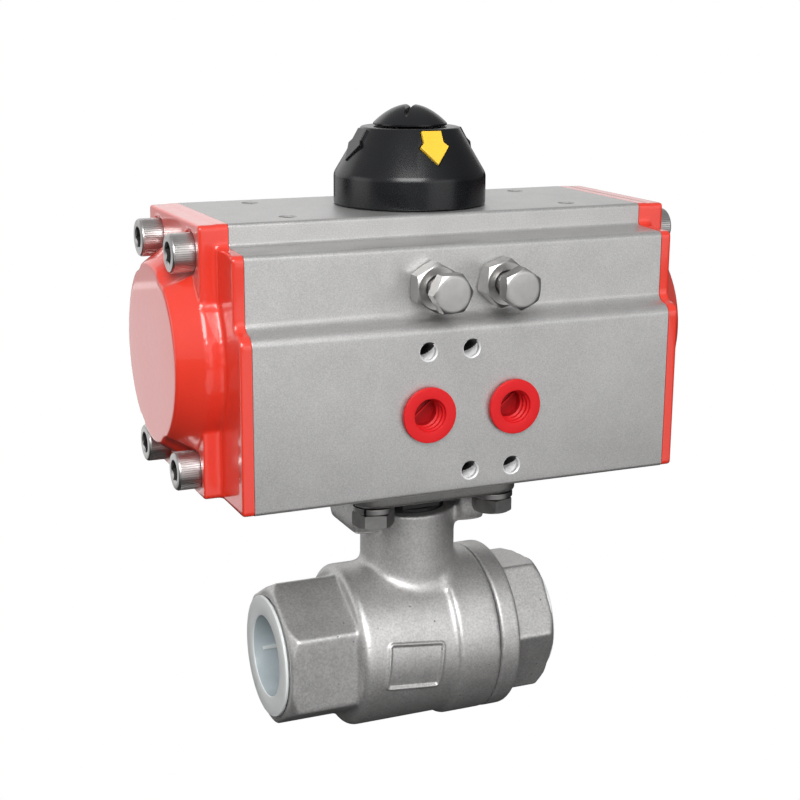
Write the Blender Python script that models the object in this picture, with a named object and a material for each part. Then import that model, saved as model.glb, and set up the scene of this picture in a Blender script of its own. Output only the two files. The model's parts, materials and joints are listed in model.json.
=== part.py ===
"""A pneumatic actuated valve: a rack-and-pinion quarter-turn actuator on a threaded ball valve.

Lengths are metres and +Z is up. The origin is the centre of the ball, where the pipe axis (X)
meets the stem axis (Z). The air ports and the stop bolts face -Y. The valve is shown closed.
"""
import bpy
import bmesh
from math import acos, atan2, cos, hypot, pi, radians, sin, sqrt, tan
from mathutils import Matrix, Vector

# Fits
GAP = 0.0003              # between pieces that touch or run on each other
PISTON_PLAY = 0.0006      # between a piston and its bore
END_PLAY = 0.0006         # between a piston at full travel and the spigot of its end cap

# Actuator body: the bore and the walls around it give the outer profile
BORE_RADIUS = 0.0260
BODY_LENGTH = 0.1160
BOTTOM_WALL = 0.0080      # under the bore
TOP_WALL = 0.0095         # over the bore
FRONT_WALL = 0.0137       # in front of the bore, lower section
MID_WALL = 0.0086         # in front of the bore, middle section
BACK_WALL = 0.0050
TOP_HALF_WIDTH = 0.0228   # half the width of the raised top section
TOP_SECTION = 0.0062      # depth of the raised top section with its shoulder
SHOULDER_RISE = 0.0004    # the upper shoulder is almost level
SHELF_RISE = 0.0010       # and so is the shelf under the stop bolts
EDGE_ROUND = 0.0014       # outer edges of the shoulders
CORNER_ROUND = 0.0010

# Air interface on the front
PORT_SPACING = 0.0240
PORT_HEIGHT = 0.0214      # over the underside of the actuator
PORT_RADIUS = 0.0065
PORT_DEPTH = 0.0075
PORT_DRILL = 0.0020       # radius of the small passages
PORT_DRILL_RISE = 0.0035  # the passage to the middle chamber leaves the port above its axis
GALLERY_DEPTH = 0.0090    # behind the front face
GALLERY_DROP = 0.0024     # under the axis of the ports
GALLERY_RADIUS = 0.0016
FACE_HOLE_RADIUS = 0.0024
FACE_HOLE_DEPTH = 0.0080
FACE_HOLE_RISE = 0.0160   # over and under the axis of the ports
ACCESSORY_LENGTH = 0.0800
ACCESSORY_WIDTH = 0.0300

# End caps
FLANGE_THICKNESS = 0.0030
BLOCK_DEPTH = 0.0076      # from the end of the body to the face that carries the screws
DOME_DEPTH = 0.0144       # from the end of the body to the end of the dome
DRUM_WALL = 0.0019        # the drum stands out past the bore
DOME_INSET = 0.0047       # the end of the dome is this much smaller than the drum
SPIGOT_LENGTH = 0.0037
SPIGOT_WALL = 0.0052
CAP_WALL = 0.0028
BLOCK_STEP = 0.00015      # the block stands this much inside the top and bottom of the flange
CAP_SCREW_EDGE = 0.0054   # from the bore to the axis of a cap screw
CAP_SCREW_ANGLE = radians(62.4)
POCKET_PLAY = 0.0007      # around a screw head, at its seat
POCKET_FLARE = 0.0034     # how much wider the pocket is at the end of the dome
SEAT_SINK = 0.0008

# Screws
M6_RADIUS = 0.0030
M6_ACROSS = 0.0100        # across the flats of a hexagon head
M6_HEAD = 0.0040
M6_NUT = 0.0050
SOCKET_HEAD_RADIUS = 0.0049
SOCKET_HEAD = 0.0060
SOCKET_HEAD_EDGE = 0.0005
SOCKET_ACROSS = 0.0050
SOCKET_DEPTH = 0.0030
CAP_SCREW_LENGTH = 0.0190
THREAD_DEPTH = 0.0110     # of a blind tapped hole in the body

# Rack and pinion
PINION_TEETH = 12
MODULE = 0.0015
PRESSURE_ANGLE = radians(20)
PINION_ADDENDUM = 0.0013
RACK_ADDENDUM = 0.0010
TIP_CLEARANCE = 0.00035
BACKLASH = 0.0003         # taken off the thickness of each tooth
PINION_HALF_HEIGHT = 0.0100
RACK_HALF_HEIGHT = 0.0090
RACK_END = 0.00075        # plain metal past the last tooth
RACK_SPARE = 2            # teeth past the contact at each end of the travel
RACK_BACK_MARGIN = 0.0045  # from the corners of the rack arm to the bore
QUARTER_TURN = radians(90)

# Pinion shaft, with its bearings and seals
LOWER_JOURNAL = 0.0115
UPPER_JOURNAL = 0.0080
WAIST_RADIUS = 0.0095     # between the lower journal and the teeth
JOURNAL_LENGTH = 0.0120
STUB_RADIUS = 0.0062
STUB_HEIGHT = 0.0182      # over the top of the body
BUSH_WALL = 0.0017
SEAL_SECTION = 0.0026     # thickness of the large O-rings
GROOVE_LIP = 0.0013       # metal between an O-ring groove and the end of its hole
CAP_SEAL_SECTION = 0.0018
UPPER_BUSH_LENGTH = 0.0049
LOWER_BUSH_LENGTH = 0.0034
THRUST_WASHER = 0.0011
THRUST_WASHER_WIDTH = 0.0047
CIRCLIP = 0.0012
CIRCLIP_SINK = 0.0012     # depth of its groove
CIRCLIP_WIDTH = 0.0033
CIRCLIP_OPENING = 0.0050
SQUARE_DRIVE = 0.0110     # across the flats of the socket for the stem
DRIVE_DEPTH = 0.0135

# Travel stops
STOP_SPACING = 0.0190
STOP_DROP = 0.0067        # axis of the stop bolts under the top of the bore
STOP_REACH = 0.0080       # tips of the stop bolts in front of the shaft axis
STOP_SHELF = 0.0091       # axis of the stop bolts over the edge of the lower section
STOP_BARE = 0.0050        # bare thread between lock nut and bolt head
CAM_HEIGHT = 0.0061
CAM_HUB_WALL = 0.0010
STOP_NUT_ACROSS = 0.0112  # the lock nuts are wider than the bolt heads
STOP_NUT_TURNS = (radians(0), radians(12))
STOP_HEAD_TURNS = (radians(27), radians(4))

# Pistons
PISTON_THICKNESS = 0.0130
PISTON_HOLLOW = 0.0120
PISTON_HOLLOW_DEPTH = 0.0040
BAND_WIDTH = 0.0052
BAND_THICKNESS = 0.0017
RING_LAND = 0.0014        # metal between the grooves of a piston

# Position indicator
SKIRT_RADIUS = 0.0204
SKIRT_HEIGHT = 0.0079
CONE_TOP_RADIUS = 0.0131
CONE_HEIGHT = 0.0123
CUP_WALL = 0.0023
MUSHROOM_RADIUS = 0.00985
MUSHROOM_RISE = 0.0051
MUSHROOM_RIM = 0.0006
MUSHROOM_POWER = 1.6      # between a cone, 1, and a dome, 2
MUSHROOM_SLOT = 0.0022
SLOT_DEPTH = 0.0028
SLOT_TURN = radians(-30)  # where the screw stopped
SCREW_HOLD = 0.0076       # length of the indicator screw in the shaft
ARROW_TIP = 0.0042        # distances up the cone
ARROW_SHOULDER = 0.0092
ARROW_NOTCH = 0.0104
ARROW_TOP = 0.0137
ARROW_HALF_WIDTH = 0.0040
ARROW_STEM_HALF = 0.00275
ARROW_PROUD = 0.00045
ARROW_SUNK = 0.0006

# Plugs of the air ports
PLUG_FLANGE_RADIUS = 0.0075
PLUG_FLANGE = 0.0013
PLUG_HOLLOW = 0.0043
PLUG_STEP = 0.0007
PLUG_LENGTH = 0.0062
PLUG_FLOOR = 0.0012

# Ball valve: the ball and the pipe thread give the sizes around them
BALL_RADIUS = 0.0175
FLOW_RADIUS = 0.0110
SEAT_WIDTH = 0.0042       # of the ring that the ball presses on
SEAT_DEPTH = 0.010437     # along the pipe
CAVITY_PLAY = 0.0006      # around the ball
SEAL_LEDGE = 0.0012       # width of the body seal past the ball chamber
BODY_SEAL = 0.0012
BARREL_WALL = 0.00325
COLLAR_STEP = 0.00115     # the right half of the barrel is this much thicker
COLLAR_LENGTH = 0.0130
COLLAR_SETBACK = 0.0013   # from the back of the right seat to the parting line
SHOULDER_WALL = 0.0030    # behind the left seat
SHOULDER_ROUND = 0.0036
RIM_WIDTH = 0.0061
RIM_CHAMFER = 0.00075
FLOW_LIP = 0.0040         # metal between the pipe thread and the seat
THREAD_RADIUS = 0.0152
LEFT_THREAD = 0.0175      # lengths of the pipe threads
RIGHT_THREAD = 0.0142
MOUTH_CHAMFER = 0.0015
HEX_WALL = 0.0031         # from the thread to the flats of the hexagon
HEX_ROUND = 0.0022
END_FACE_WIDTH = 0.0032   # from the thread to the edge of the end face
LEFT_HEX_TURN = radians(30)
RIGHT_HEX_TURN = radians(54.5)

# Stem, packing and gland
STEM_RADIUS = 0.0070
TANG_THICKNESS = 0.0080
TANG_COVER = 0.0018       # metal of the ball under the tang
STEM_COLLAR_STEP = 0.0016
STEM_COLLAR = 0.0025
STEM_WASHER = 0.0010
STEM_WEB = 0.0051         # metal between the collar pocket and the packing
PACKING_WIDTH = 0.0027
PACKING_LENGTH = 0.0064
GLAND_RING = 0.0066
GLAND_PROUD = 0.0009      # the gland ring stands out of the neck
GLAND_NUT = 0.0045
GLAND_NUT_WALL = 0.0022

# Neck, pillars and mounting pad
NECK_WALL = 0.0030
WINDOW = 0.0072           # height between the neck and the pad
PAD_THICKNESS = 0.0075
PAD_HALF_WIDTH = 0.0240
PAD_CORNER = 0.0065
PAD_BOLT_CIRCLE = 0.0500
PAD_HOLE_PLAY = 0.0012    # around the corners of the square drive
PILLAR_WIDTH = 0.0082
PILLAR_PLAY = 0.0008      # beside the corners of the gland nut
PILLAR_HALF_WIDTH = 0.0100
PILLAR_DROP = 0.0047      # the pillars reach this far down the neck
SPRING_WASHER = 0.0016
SPRING_WASHER_RADIUS = 0.0057
WASHER_SPLIT = 0.0007

# Thread protectors in the pipe ends
PROTECTOR_LIP = 0.0017    # the flange stands out past the thread
PROTECTOR_FLANGE = 0.0009
PROTECTOR_WALL = 0.0036
PROTECTOR_LENGTH = 0.0135
PROTECTOR_FLOOR = 0.0012

# Smoothness
BIG_STEPS = 28
STEPS = 18
SMALL_STEPS = 10
DRILL_STEPS = 10
SHARP_ANGLE = radians(32)
WELD = 2e-6               # slivers left by a cut are closed up to this size

# Places that several pieces share: the valve, from the ball outwards
SEAT_RADIUS = FLOW_RADIUS + SEAT_WIDTH
SEAT_RIM = sqrt((BALL_RADIUS + GAP) ** 2 - SEAT_RADIUS ** 2)
SEAT_BACK = SEAT_RIM + SEAT_DEPTH
CHAMBER_RADIUS = BALL_RADIUS + CAVITY_PLAY
SPIGOT_RADIUS = CHAMBER_RADIUS + SEAL_LEDGE
STEM_COLLAR_RADIUS = STEM_RADIUS + STEM_COLLAR_STEP
SEAL_SEAT = max(SEAT_RIM, STEM_COLLAR_RADIUS + GAP)
SPIGOT_START = SEAL_SEAT + BODY_SEAL + 2 * GAP
BARREL_RADIUS = SPIGOT_RADIUS + GAP + BARREL_WALL
COLLAR_RADIUS = BARREL_RADIUS + COLLAR_STEP
BARREL_LEFT = -SEAT_BACK - GAP - SHOULDER_WALL
BARREL_RIGHT = SEAT_BACK + GAP - COLLAR_SETBACK
BARREL_STEP = BARREL_RIGHT - COLLAR_LENGTH
THREAD_START = SEAT_BACK + GAP + FLOW_LIP
LEFT_END = -THREAD_START - LEFT_THREAD
RIGHT_END = THREAD_START + RIGHT_THREAD
HEX_ACROSS = 2 * (THREAD_RADIUS + HEX_WALL)
END_FACE_RADIUS = THREAD_RADIUS + END_FACE_WIDTH

# The stem with its gland, and the pad over them
TANG_BOTTOM = FLOW_RADIUS + TANG_COVER
STEM_HOLE = STEM_RADIUS + GAP
STEM_COLLAR_LOW = BALL_RADIUS + GAP
STEM_COLLAR_TOP = STEM_COLLAR_LOW + STEM_COLLAR
COLLAR_POCKET_TOP = STEM_COLLAR_TOP + STEM_WASHER + 2 * GAP
PACKING_RADIUS = STEM_HOLE + PACKING_WIDTH
PACKING_LOW = COLLAR_POCKET_TOP + STEM_WEB + GAP
GLAND_LOW = PACKING_LOW + PACKING_LENGTH + GAP
GLAND_TOP = GLAND_LOW + GLAND_RING
GLAND_NUT_ACROSS = 2 * (STEM_HOLE + GLAND_NUT_WALL)
NECK_RADIUS = PACKING_RADIUS + GAP + NECK_WALL
NECK_TOP = GLAND_TOP - GLAND_PROUD
PILLAR_INSIDE = GLAND_NUT_ACROSS / sqrt(3) + PILLAR_PLAY
PILLAR_OUTSIDE = PILLAR_INSIDE + PILLAR_WIDTH
PAD_BOTTOM = NECK_TOP + WINDOW
PAD_TOP = PAD_BOTTOM + PAD_THICKNESS
PAD_HOLE_RADIUS = SQUARE_DRIVE * sqrt(0.5) + PAD_HOLE_PLAY
PAD_BOLT = PAD_BOLT_CIRCLE / 2 * sqrt(0.5)
PROTECTOR_FLANGE_RADIUS = THREAD_RADIUS + PROTECTOR_LIP
FREE_FACE_RADIUS = PROTECTOR_FLANGE_RADIUS + GAP  # the end faces are bare outside this radius
PROTECTOR_HOLLOW = THREAD_RADIUS - GAP - PROTECTOR_WALL

# The actuator, from the pad upwards
ACTUATOR_BASE = PAD_TOP + GAP
BODY_HEIGHT = BOTTOM_WALL + 2 * BORE_RADIUS + TOP_WALL
BODY_TOP = ACTUATOR_BASE + BODY_HEIGHT
BODY_END = BODY_LENGTH / 2
BORE_Z = ACTUATOR_BASE + BOTTOM_WALL + BORE_RADIUS
LOW_FRONT = BORE_RADIUS + FRONT_WALL
MID_FRONT = BORE_RADIUS + MID_WALL
BACK = BORE_RADIUS + BACK_WALL
PORT_Z = ACTUATOR_BASE + PORT_HEIGHT
PITCH_RADIUS = PINION_TEETH * MODULE / 2
PITCH = pi * MODULE
TRAVEL = PITCH_RADIUS * QUARTER_TURN
M6_HOLE = M6_RADIUS + GAP
SCREW_Y = (BORE_RADIUS + CAP_SCREW_EDGE) * cos(CAP_SCREW_ANGLE)
SCREW_RISE = (BORE_RADIUS + CAP_SCREW_EDGE) * sin(CAP_SCREW_ANGLE)
STOP_Z = BORE_Z + BORE_RADIUS - STOP_DROP
SIDES = {"left": -1, "right": 1}

FINISHES = {
    "anodised_aluminium": ((0.50, 0.49, 0.46), 0.45, 0.8),
    "red_paint": ((0.78, 0.05, 0.03), 0.25, 0.0),
    "bright_steel": ((0.60, 0.58, 0.55), 0.25, 1.0),
    "dark_steel": ((0.20, 0.20, 0.20), 0.40, 1.0),
    "cast_stainless": ((0.45, 0.43, 0.40), 0.42, 1.0),
    "polished_stainless": ((0.62, 0.61, 0.59), 0.12, 1.0),
    "black_plastic": ((0.015, 0.016, 0.018), 0.35, 0.0),
    "yellow_plastic": ((0.90, 0.60, 0.03), 0.40, 0.0),
    "red_plastic": ((0.80, 0.03, 0.03), 0.40, 0.0),
    "milky_plastic": ((0.75, 0.77, 0.77), 0.35, 0.0),
    "white_polymer": ((0.85, 0.84, 0.80), 0.45, 0.0),
    "black_rubber": ((0.02, 0.02, 0.02), 0.60, 0.0),
}

for old in list(bpy.data.objects):
    bpy.data.objects.remove(old, do_unlink=True)


def material(finish):
    """The Principled material of one finish, made once."""
    made = bpy.data.materials.get(finish)
    if made is None:
        colour, roughness, metallic = FINISHES[finish]
        made = bpy.data.materials.new(finish)
        made.use_nodes = True
        shader = made.node_tree.nodes["Principled BSDF"]
        shader.inputs["Base Color"].default_value = (*colour, 1.0)
        shader.inputs["Roughness"].default_value = roughness
        shader.inputs["Metallic"].default_value = metallic
    return made


def blank(bm, matrix=Matrix()):
    """An object from a closed bmesh, with its faces pointing out."""
    bmesh.ops.transform(bm, matrix=matrix, verts=bm.verts)
    bmesh.ops.recalc_face_normals(bm, faces=bm.faces)
    mesh = bpy.data.meshes.new("blank")
    bm.to_mesh(mesh)
    bm.free()
    made = bpy.data.objects.new("blank", mesh)
    bpy.context.scene.collection.objects.link(made)
    return made


ALONG = {
    "X": Matrix.Rotation(pi / 2, 4, "Y"),
    "Y": Matrix.Rotation(-pi / 2, 4, "X"),
    "Z": Matrix(),
}


def turned(outline, axis="Z", centre=(0, 0, 0), steps=STEPS):
    """Spin an outline of (height, radius) points; one that leaves the axis makes a ring."""
    bm = bmesh.new()
    verts = [bm.verts.new((radius, 0, height)) for height, radius in outline]
    ring = all(radius > 0 for _, radius in outline)
    pairs = list(zip(verts, verts[1:] + verts[:1]))
    edges = [bm.edges.new(pair) for pair in (pairs if ring else pairs[:-1])]
    bmesh.ops.spin(bm, geom=verts + edges, axis=(0, 0, 1), cent=(0, 0, 0), angle=2 * pi,
                   steps=steps, use_merge=True)
    bmesh.ops.remove_doubles(bm, verts=bm.verts, dist=1e-7)
    return blank(bm, Matrix.Translation(centre) @ ALONG[axis])


def rod(radius, low, high, axis="Z", centre=(0, 0, 0), steps=STEPS):
    """A plain cylinder between two heights along its axis."""
    return turned([(low, 0), (low, radius), (high, radius), (high, 0)], axis, centre, steps)


def ring(inner, outer, low, high, axis="Z", centre=(0, 0, 0), steps=STEPS):
    """A washer or sleeve of rectangular section."""
    return turned([(low, inner), (low, outer), (high, outer), (high, inner)], axis, centre, steps)


def o_ring(outer, section, middle, axis="Z", centre=(0, 0, 0), steps=STEPS, sides=4):
    """A round-section ring, given by its outer radius and the height of its middle."""
    half = section / 2
    angles = [2 * pi * i / sides for i in range(sides)]
    outline = [(middle + half * sin(a), outer - half + half * cos(a)) for a in angles]
    return turned(outline, axis, centre, steps)


def prism(outline, axis, low, high, matrix=Matrix()):
    """Extrude a flat outline; its points are in the two axes other than the given one."""
    place = {
        "X": lambda a, b: (low, a, b),
        "Y": lambda a, b: (a, low, b),
        "Z": lambda a, b: (a, b, low),
    }[axis]
    step = {"X": Vector((1, 0, 0)), "Y": Vector((0, 1, 0)), "Z": Vector((0, 0, 1))}[axis]
    bm = bmesh.new()
    face = bm.faces.new([bm.verts.new(place(a, b)) for a, b in outline])
    pulled = bmesh.ops.extrude_face_region(bm, geom=[face])["geom"]
    moved = [item for item in pulled if isinstance(item, bmesh.types.BMVert)]
    bmesh.ops.translate(bm, vec=step * (high - low), verts=moved)
    return blank(bm, matrix)


def box(low, high):
    """A block between two corners."""
    (x0, y0, z0), (x1, y1, z1) = low, high
    return prism([(x0, y0), (x1, y0), (x1, y1), (x0, y1)], "Z", z0, z1)


def rounded(corners, steps=2):
    """An outline whose corners, given as (a, b, radius), are rounded by arcs."""
    points = []
    for i, (a, b, radius) in enumerate(corners):
        corner = Vector((a, b))
        if radius == 0:
            points.append((a, b))
            continue
        before = (Vector(corners[i - 1][:2]) - corner).normalized()
        after = (Vector(corners[(i + 1) % len(corners)][:2]) - corner).normalized()
        half = before.angle(after) / 2
        centre = corner + (before + after).normalized() * radius / sin(half)
        start = corner + before * radius / tan(half) - centre
        sweep = pi - 2 * half
        turn = 1 if start.x * (corner - centre).y - start.y * (corner - centre).x > 0 else -1
        first = atan2(start.y, start.x)
        for step in range(steps + 1):
            angle = first + turn * sweep * step / steps
            points.append((centre.x + radius * cos(angle), centre.y + radius * sin(angle)))
    return points


def hexagon(across, turn=0.0, round_off=0.0):
    """A hexagon by its size across the flats, its first corner at the given angle."""
    radius = across / sqrt(3)
    angles = [turn + pi / 3 * i for i in range(6)]
    return rounded([(radius * cos(a), radius * sin(a), round_off) for a in angles])


def combine(target, tool, operation):
    """Join, cut or trim one solid with another, and discard the tool."""
    change = target.modifiers.new("shape", "BOOLEAN")
    change.operation = operation
    change.solver = "EXACT"
    change.object = tool
    depsgraph = bpy.context.evaluated_depsgraph_get()
    shaped = bpy.data.meshes.new_from_object(target.evaluated_get(depsgraph))
    target.modifiers.clear()
    target.data = shaped
    bpy.data.objects.remove(tool, do_unlink=True)
    bm = bmesh.new()
    bm.from_mesh(shaped)
    bmesh.ops.remove_doubles(bm, verts=bm.verts, dist=WELD)
    bmesh.ops.dissolve_degenerate(bm, edges=bm.edges, dist=WELD)
    bm.to_mesh(shaped)
    bm.free()


def cut(target, *tools):
    for tool in tools:
        combine(target, tool, "DIFFERENCE")
    return target


def join(target, *tools):
    for tool in tools:
        combine(target, tool, "UNION")
    return target


def trim(target, tool):
    combine(target, tool, "INTERSECT")
    return target


def named(piece, name, finish, parent=None):
    """Give a finished piece its name, material, shading and parent."""
    piece.name = name
    piece.data.name = name
    piece.data.materials.clear()
    piece.data.materials.append(material(finish))
    piece.data.shade_smooth()
    piece.data.set_sharp_from_angle(angle=SHARP_ANGLE)
    piece.parent = parent
    return piece


def copy_of(piece, name, matrix, parent=None):
    """Another object on the same mesh."""
    made = bpy.data.objects.new(name, piece.data)
    bpy.context.scene.collection.objects.link(made)
    made.matrix_basis = matrix
    made.parent = parent
    return made


def mirrored(piece):
    """Turn a piece made for the right side into the one for the left side."""
    piece.data.transform(Matrix.Scale(-1, 4, (1, 0, 0)))
    piece.data.flip_normals()
    return piece


def axis_empty(name, matrix):
    """An empty on the axis of a joint, which carries the pieces that move on it."""
    made = bpy.data.objects.new(name, None)
    bpy.context.scene.collection.objects.link(made)
    made.matrix_basis = matrix
    return made


def body_profile():
    """The outline of the extrusion, seen along X: shoulders in front, plain at the back."""
    low_top = STOP_Z - STOP_SHELF
    shoulder_top = BODY_TOP - TOP_SECTION + SHOULDER_RISE
    shoulder_low = BODY_TOP - TOP_SECTION
    return rounded([
        (-LOW_FRONT, ACTUATOR_BASE, CORNER_ROUND),
        (BACK, ACTUATOR_BASE, CORNER_ROUND),
        (BACK, shoulder_low, EDGE_ROUND),
        (TOP_HALF_WIDTH, shoulder_top, CORNER_ROUND),
        (TOP_HALF_WIDTH, BODY_TOP, CORNER_ROUND),
        (-TOP_HALF_WIDTH, BODY_TOP, CORNER_ROUND),
        (-TOP_HALF_WIDTH, shoulder_top, CORNER_ROUND),
        (-MID_FRONT, shoulder_low, EDGE_ROUND),
        (-MID_FRONT, low_top + SHELF_RISE, CORNER_ROUND),
        (-LOW_FRONT, low_top, EDGE_ROUND),
    ])


def cap_screw_places():
    """Axes of the four screws of one cap, as (y, z)."""
    return [(y * SCREW_Y, BORE_Z + z * SCREW_RISE) for y in (-1, 1) for z in (-1, 1)]


def pad_bolt_places():
    """Axes of the four bolts through the mounting pad, as (x, y)."""
    return [(x * PAD_BOLT, y * PAD_BOLT) for x in (-1, 1) for y in (-1, 1)]


def actuator_body():
    body = prism(body_profile(), "X", -BODY_END, BODY_END)
    past = 2 * GAP
    cut(body, rod(BORE_RADIUS, -BODY_END - past, BODY_END + past, "X", (0, 0, BORE_Z), BIG_STEPS))
    cut(body, rod(LOWER_JOURNAL + BUSH_WALL + 2 * GAP, ACTUATOR_BASE - past, BORE_Z))
    cut(body, rod(UPPER_JOURNAL + BUSH_WALL + 2 * GAP, BORE_Z, BODY_TOP + past))
    for x, y in pad_bolt_places():
        cut(body, rod(M6_HOLE, ACTUATOR_BASE - past, ACTUATOR_BASE + THREAD_DEPTH, "Z", (x, y, 0),
                      DRILL_STEPS))
    for side in SIDES.values():
        cut_end_threads(body, side)
        cut_front_holes(body, side)
        for y in (-ACCESSORY_WIDTH / 2, ACCESSORY_WIDTH / 2):
            cut(body, rod(FACE_HOLE_RADIUS, BODY_TOP - FACE_HOLE_DEPTH, BODY_TOP + past, "Z",
                          (side * ACCESSORY_LENGTH / 2, y, 0), DRILL_STEPS))
    cut_air_passages(body)
    return named(body, "actuator_body", "anodised_aluminium")


def cut_end_threads(body, side):
    """Tapped holes for the screws of one end cap."""
    grip = CAP_SCREW_LENGTH - (BLOCK_DEPTH - SEAT_SINK) + 2 * GAP
    ends = sorted((side * (BODY_END - grip), side * (BODY_END + GAP)))
    for y, z in cap_screw_places():
        cut(body, rod(M6_HOLE, *ends, "X", (0, y, z), DRILL_STEPS))


def cut_front_holes(body, side):
    """A port, its fixing holes and a stop bolt hole on one side of the shaft."""
    past = 2 * GAP
    port = side * PORT_SPACING / 2
    cut(body, rod(PORT_RADIUS, -LOW_FRONT - past, -LOW_FRONT + PORT_DEPTH, "Y", (port, 0, PORT_Z),
                  SMALL_STEPS))
    for x, z in ((0, side * FACE_HOLE_RISE), (port, -side * FACE_HOLE_RISE)):
        cut(body, rod(FACE_HOLE_RADIUS, -LOW_FRONT - past, -LOW_FRONT + FACE_HOLE_DEPTH, "Y",
                      (x, 0, PORT_Z + z), DRILL_STEPS))
    cut(body, rod(M6_HOLE, -MID_FRONT - past, -STOP_REACH, "Y", (side * STOP_SPACING / 2, 0, STOP_Z),
                  DRILL_STEPS))


def cut_air_passages(body):
    """The left port feeds the middle chamber; the right one feeds a gallery to both ends."""
    gallery_y = -LOW_FRONT + GALLERY_DEPTH
    gallery_z = PORT_Z - GALLERY_DROP
    port = PORT_SPACING / 2
    cut(body, rod(PORT_DRILL, -LOW_FRONT + PORT_DEPTH / 2, -PITCH_RADIUS, "Y",
                  (-port, 0, PORT_Z + PORT_DRILL_RISE), DRILL_STEPS))
    cut(body, rod(PORT_DRILL, -LOW_FRONT + PORT_DEPTH / 2, gallery_y, "Y", (port, 0, gallery_z),
                  DRILL_STEPS))
    cut(body, rod(GALLERY_RADIUS, -BODY_END - GAP, BODY_END + GAP, "X", (0, gallery_y, gallery_z),
                  DRILL_STEPS))


def end_cap():
    """The cap of the right end: flange, block, drum and dome, hollow inside."""
    inner_face = BODY_END + GAP
    flange_face = BODY_END + FLANGE_THICKNESS
    block_face = BODY_END + BLOCK_DEPTH
    dome_face = BODY_END + DOME_DEPTH
    spigot_end = inner_face - SPIGOT_LENGTH
    drum = BORE_RADIUS + DRUM_WALL
    spigot = BORE_RADIUS - GAP
    bowl = spigot - SPIGOT_WALL
    axis = (0, 0, BORE_Z)
    cap = prism(body_profile(), "X", inner_face, flange_face)
    low, high = ACTUATOR_BASE + BLOCK_STEP, BODY_TOP - BLOCK_STEP
    block = [(y, z, CORNER_ROUND) for y, z in ((-TOP_HALF_WIDTH, low), (TOP_HALF_WIDTH, low),
                                               (TOP_HALF_WIDTH, high), (-TOP_HALF_WIDTH, high))]
    join(cap, prism(rounded(block), "X", inner_face + FLANGE_THICKNESS / 2, block_face))
    groove = CAP_SEAL_SECTION + 2 * GAP
    groove_start = spigot_end + CAP_SEAL_SECTION / 2
    join(cap, turned([
        (spigot_end, 0), (spigot_end, spigot), (groove_start, spigot), (groove_start, spigot - groove),
        (groove_start + groove, spigot - groove), (groove_start + groove, spigot),
        (inner_face + GAP, spigot), (inner_face + GAP, drum), (block_face, drum),
        (dome_face, drum - DOME_INSET), (dome_face, 0),
    ], "X", axis, BIG_STEPS))
    cut(cap, rod(bowl, spigot_end - GAP, dome_face - CAP_WALL, "X", axis))
    seat = block_face - SEAT_SINK
    pocket = SOCKET_HEAD_RADIUS + POCKET_PLAY
    for y, z in cap_screw_places():
        cut(cap, turned([(seat, 0), (seat, pocket), (block_face, pocket),
                         (dome_face + GAP, pocket + POCKET_FLARE), (dome_face + GAP, 0)],
                        "X", (0, y, z), SMALL_STEPS))
        cut(cap, rod(M6_HOLE, inner_face - GAP, seat + GAP, "X", (0, y, z), DRILL_STEPS))
    return cut_cap_passage(cap, inner_face, bowl)


def cut_cap_passage(cap, inner_face, bowl):
    """A channel in the flange from the air gallery to the hollow of the cap."""
    y = -LOW_FRONT + GALLERY_DEPTH
    rise = PORT_Z - GALLERY_DROP - BORE_Z
    reach = hypot(y, rise)
    channel = box((inner_face - GAP, bowl - GALLERY_RADIUS, -GALLERY_RADIUS),
                  (inner_face + FLANGE_THICKNESS / 2, reach + GALLERY_RADIUS, GALLERY_RADIUS))
    turn = Matrix.Rotation(atan2(rise, y), 4, "X")
    channel.data.transform(Matrix.Translation((0, 0, BORE_Z)) @ turn)
    return cut(cap, channel)


def end_caps():
    for name, side in SIDES.items():
        cap = end_cap()
        middle = BODY_END + GAP - SPIGOT_LENGTH + CAP_SEAL_SECTION + GAP
        seal = o_ring(BORE_RADIUS - GAP, CAP_SEAL_SECTION, middle, "X", (0, 0, BORE_Z), BIG_STEPS)
        if side < 0:
            mirrored(cap)
            mirrored(seal)
        named(cap, "end_cap_" + name, "red_paint")
        named(seal, "cap_seal_" + name, "black_rubber")


def cap_screws():
    """Socket-head screws; the mesh points its shank along -X from the seat."""
    rim = SOCKET_HEAD_EDGE
    screw = turned([
        (-CAP_SCREW_LENGTH, 0), (-CAP_SCREW_LENGTH, M6_RADIUS), (0, M6_RADIUS),
        (0, SOCKET_HEAD_RADIUS), (SOCKET_HEAD - rim, SOCKET_HEAD_RADIUS),
        (SOCKET_HEAD, SOCKET_HEAD_RADIUS - rim), (SOCKET_HEAD, 0),
    ], "X", steps=SMALL_STEPS)
    cut(screw, prism(hexagon(SOCKET_ACROSS), "X", SOCKET_HEAD - SOCKET_DEPTH, SOCKET_HEAD + GAP))
    named(screw, "cap_screw", "bright_steel")
    seat = BODY_END + BLOCK_DEPTH - SEAT_SINK + GAP
    for name, side in SIDES.items():
        turn = Matrix.Rotation(0 if side > 0 else pi, 4, "Z")
        for y, z in cap_screw_places():
            level = "upper" if z > BORE_Z else "lower"
            face = "front" if y < 0 else "rear"
            copy_of(screw, f"cap_screw_{name}_{level}_{face}",
                    Matrix.Translation((side * seat, y, z)) @ turn)
    bpy.data.objects.remove(screw, do_unlink=True)


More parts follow.
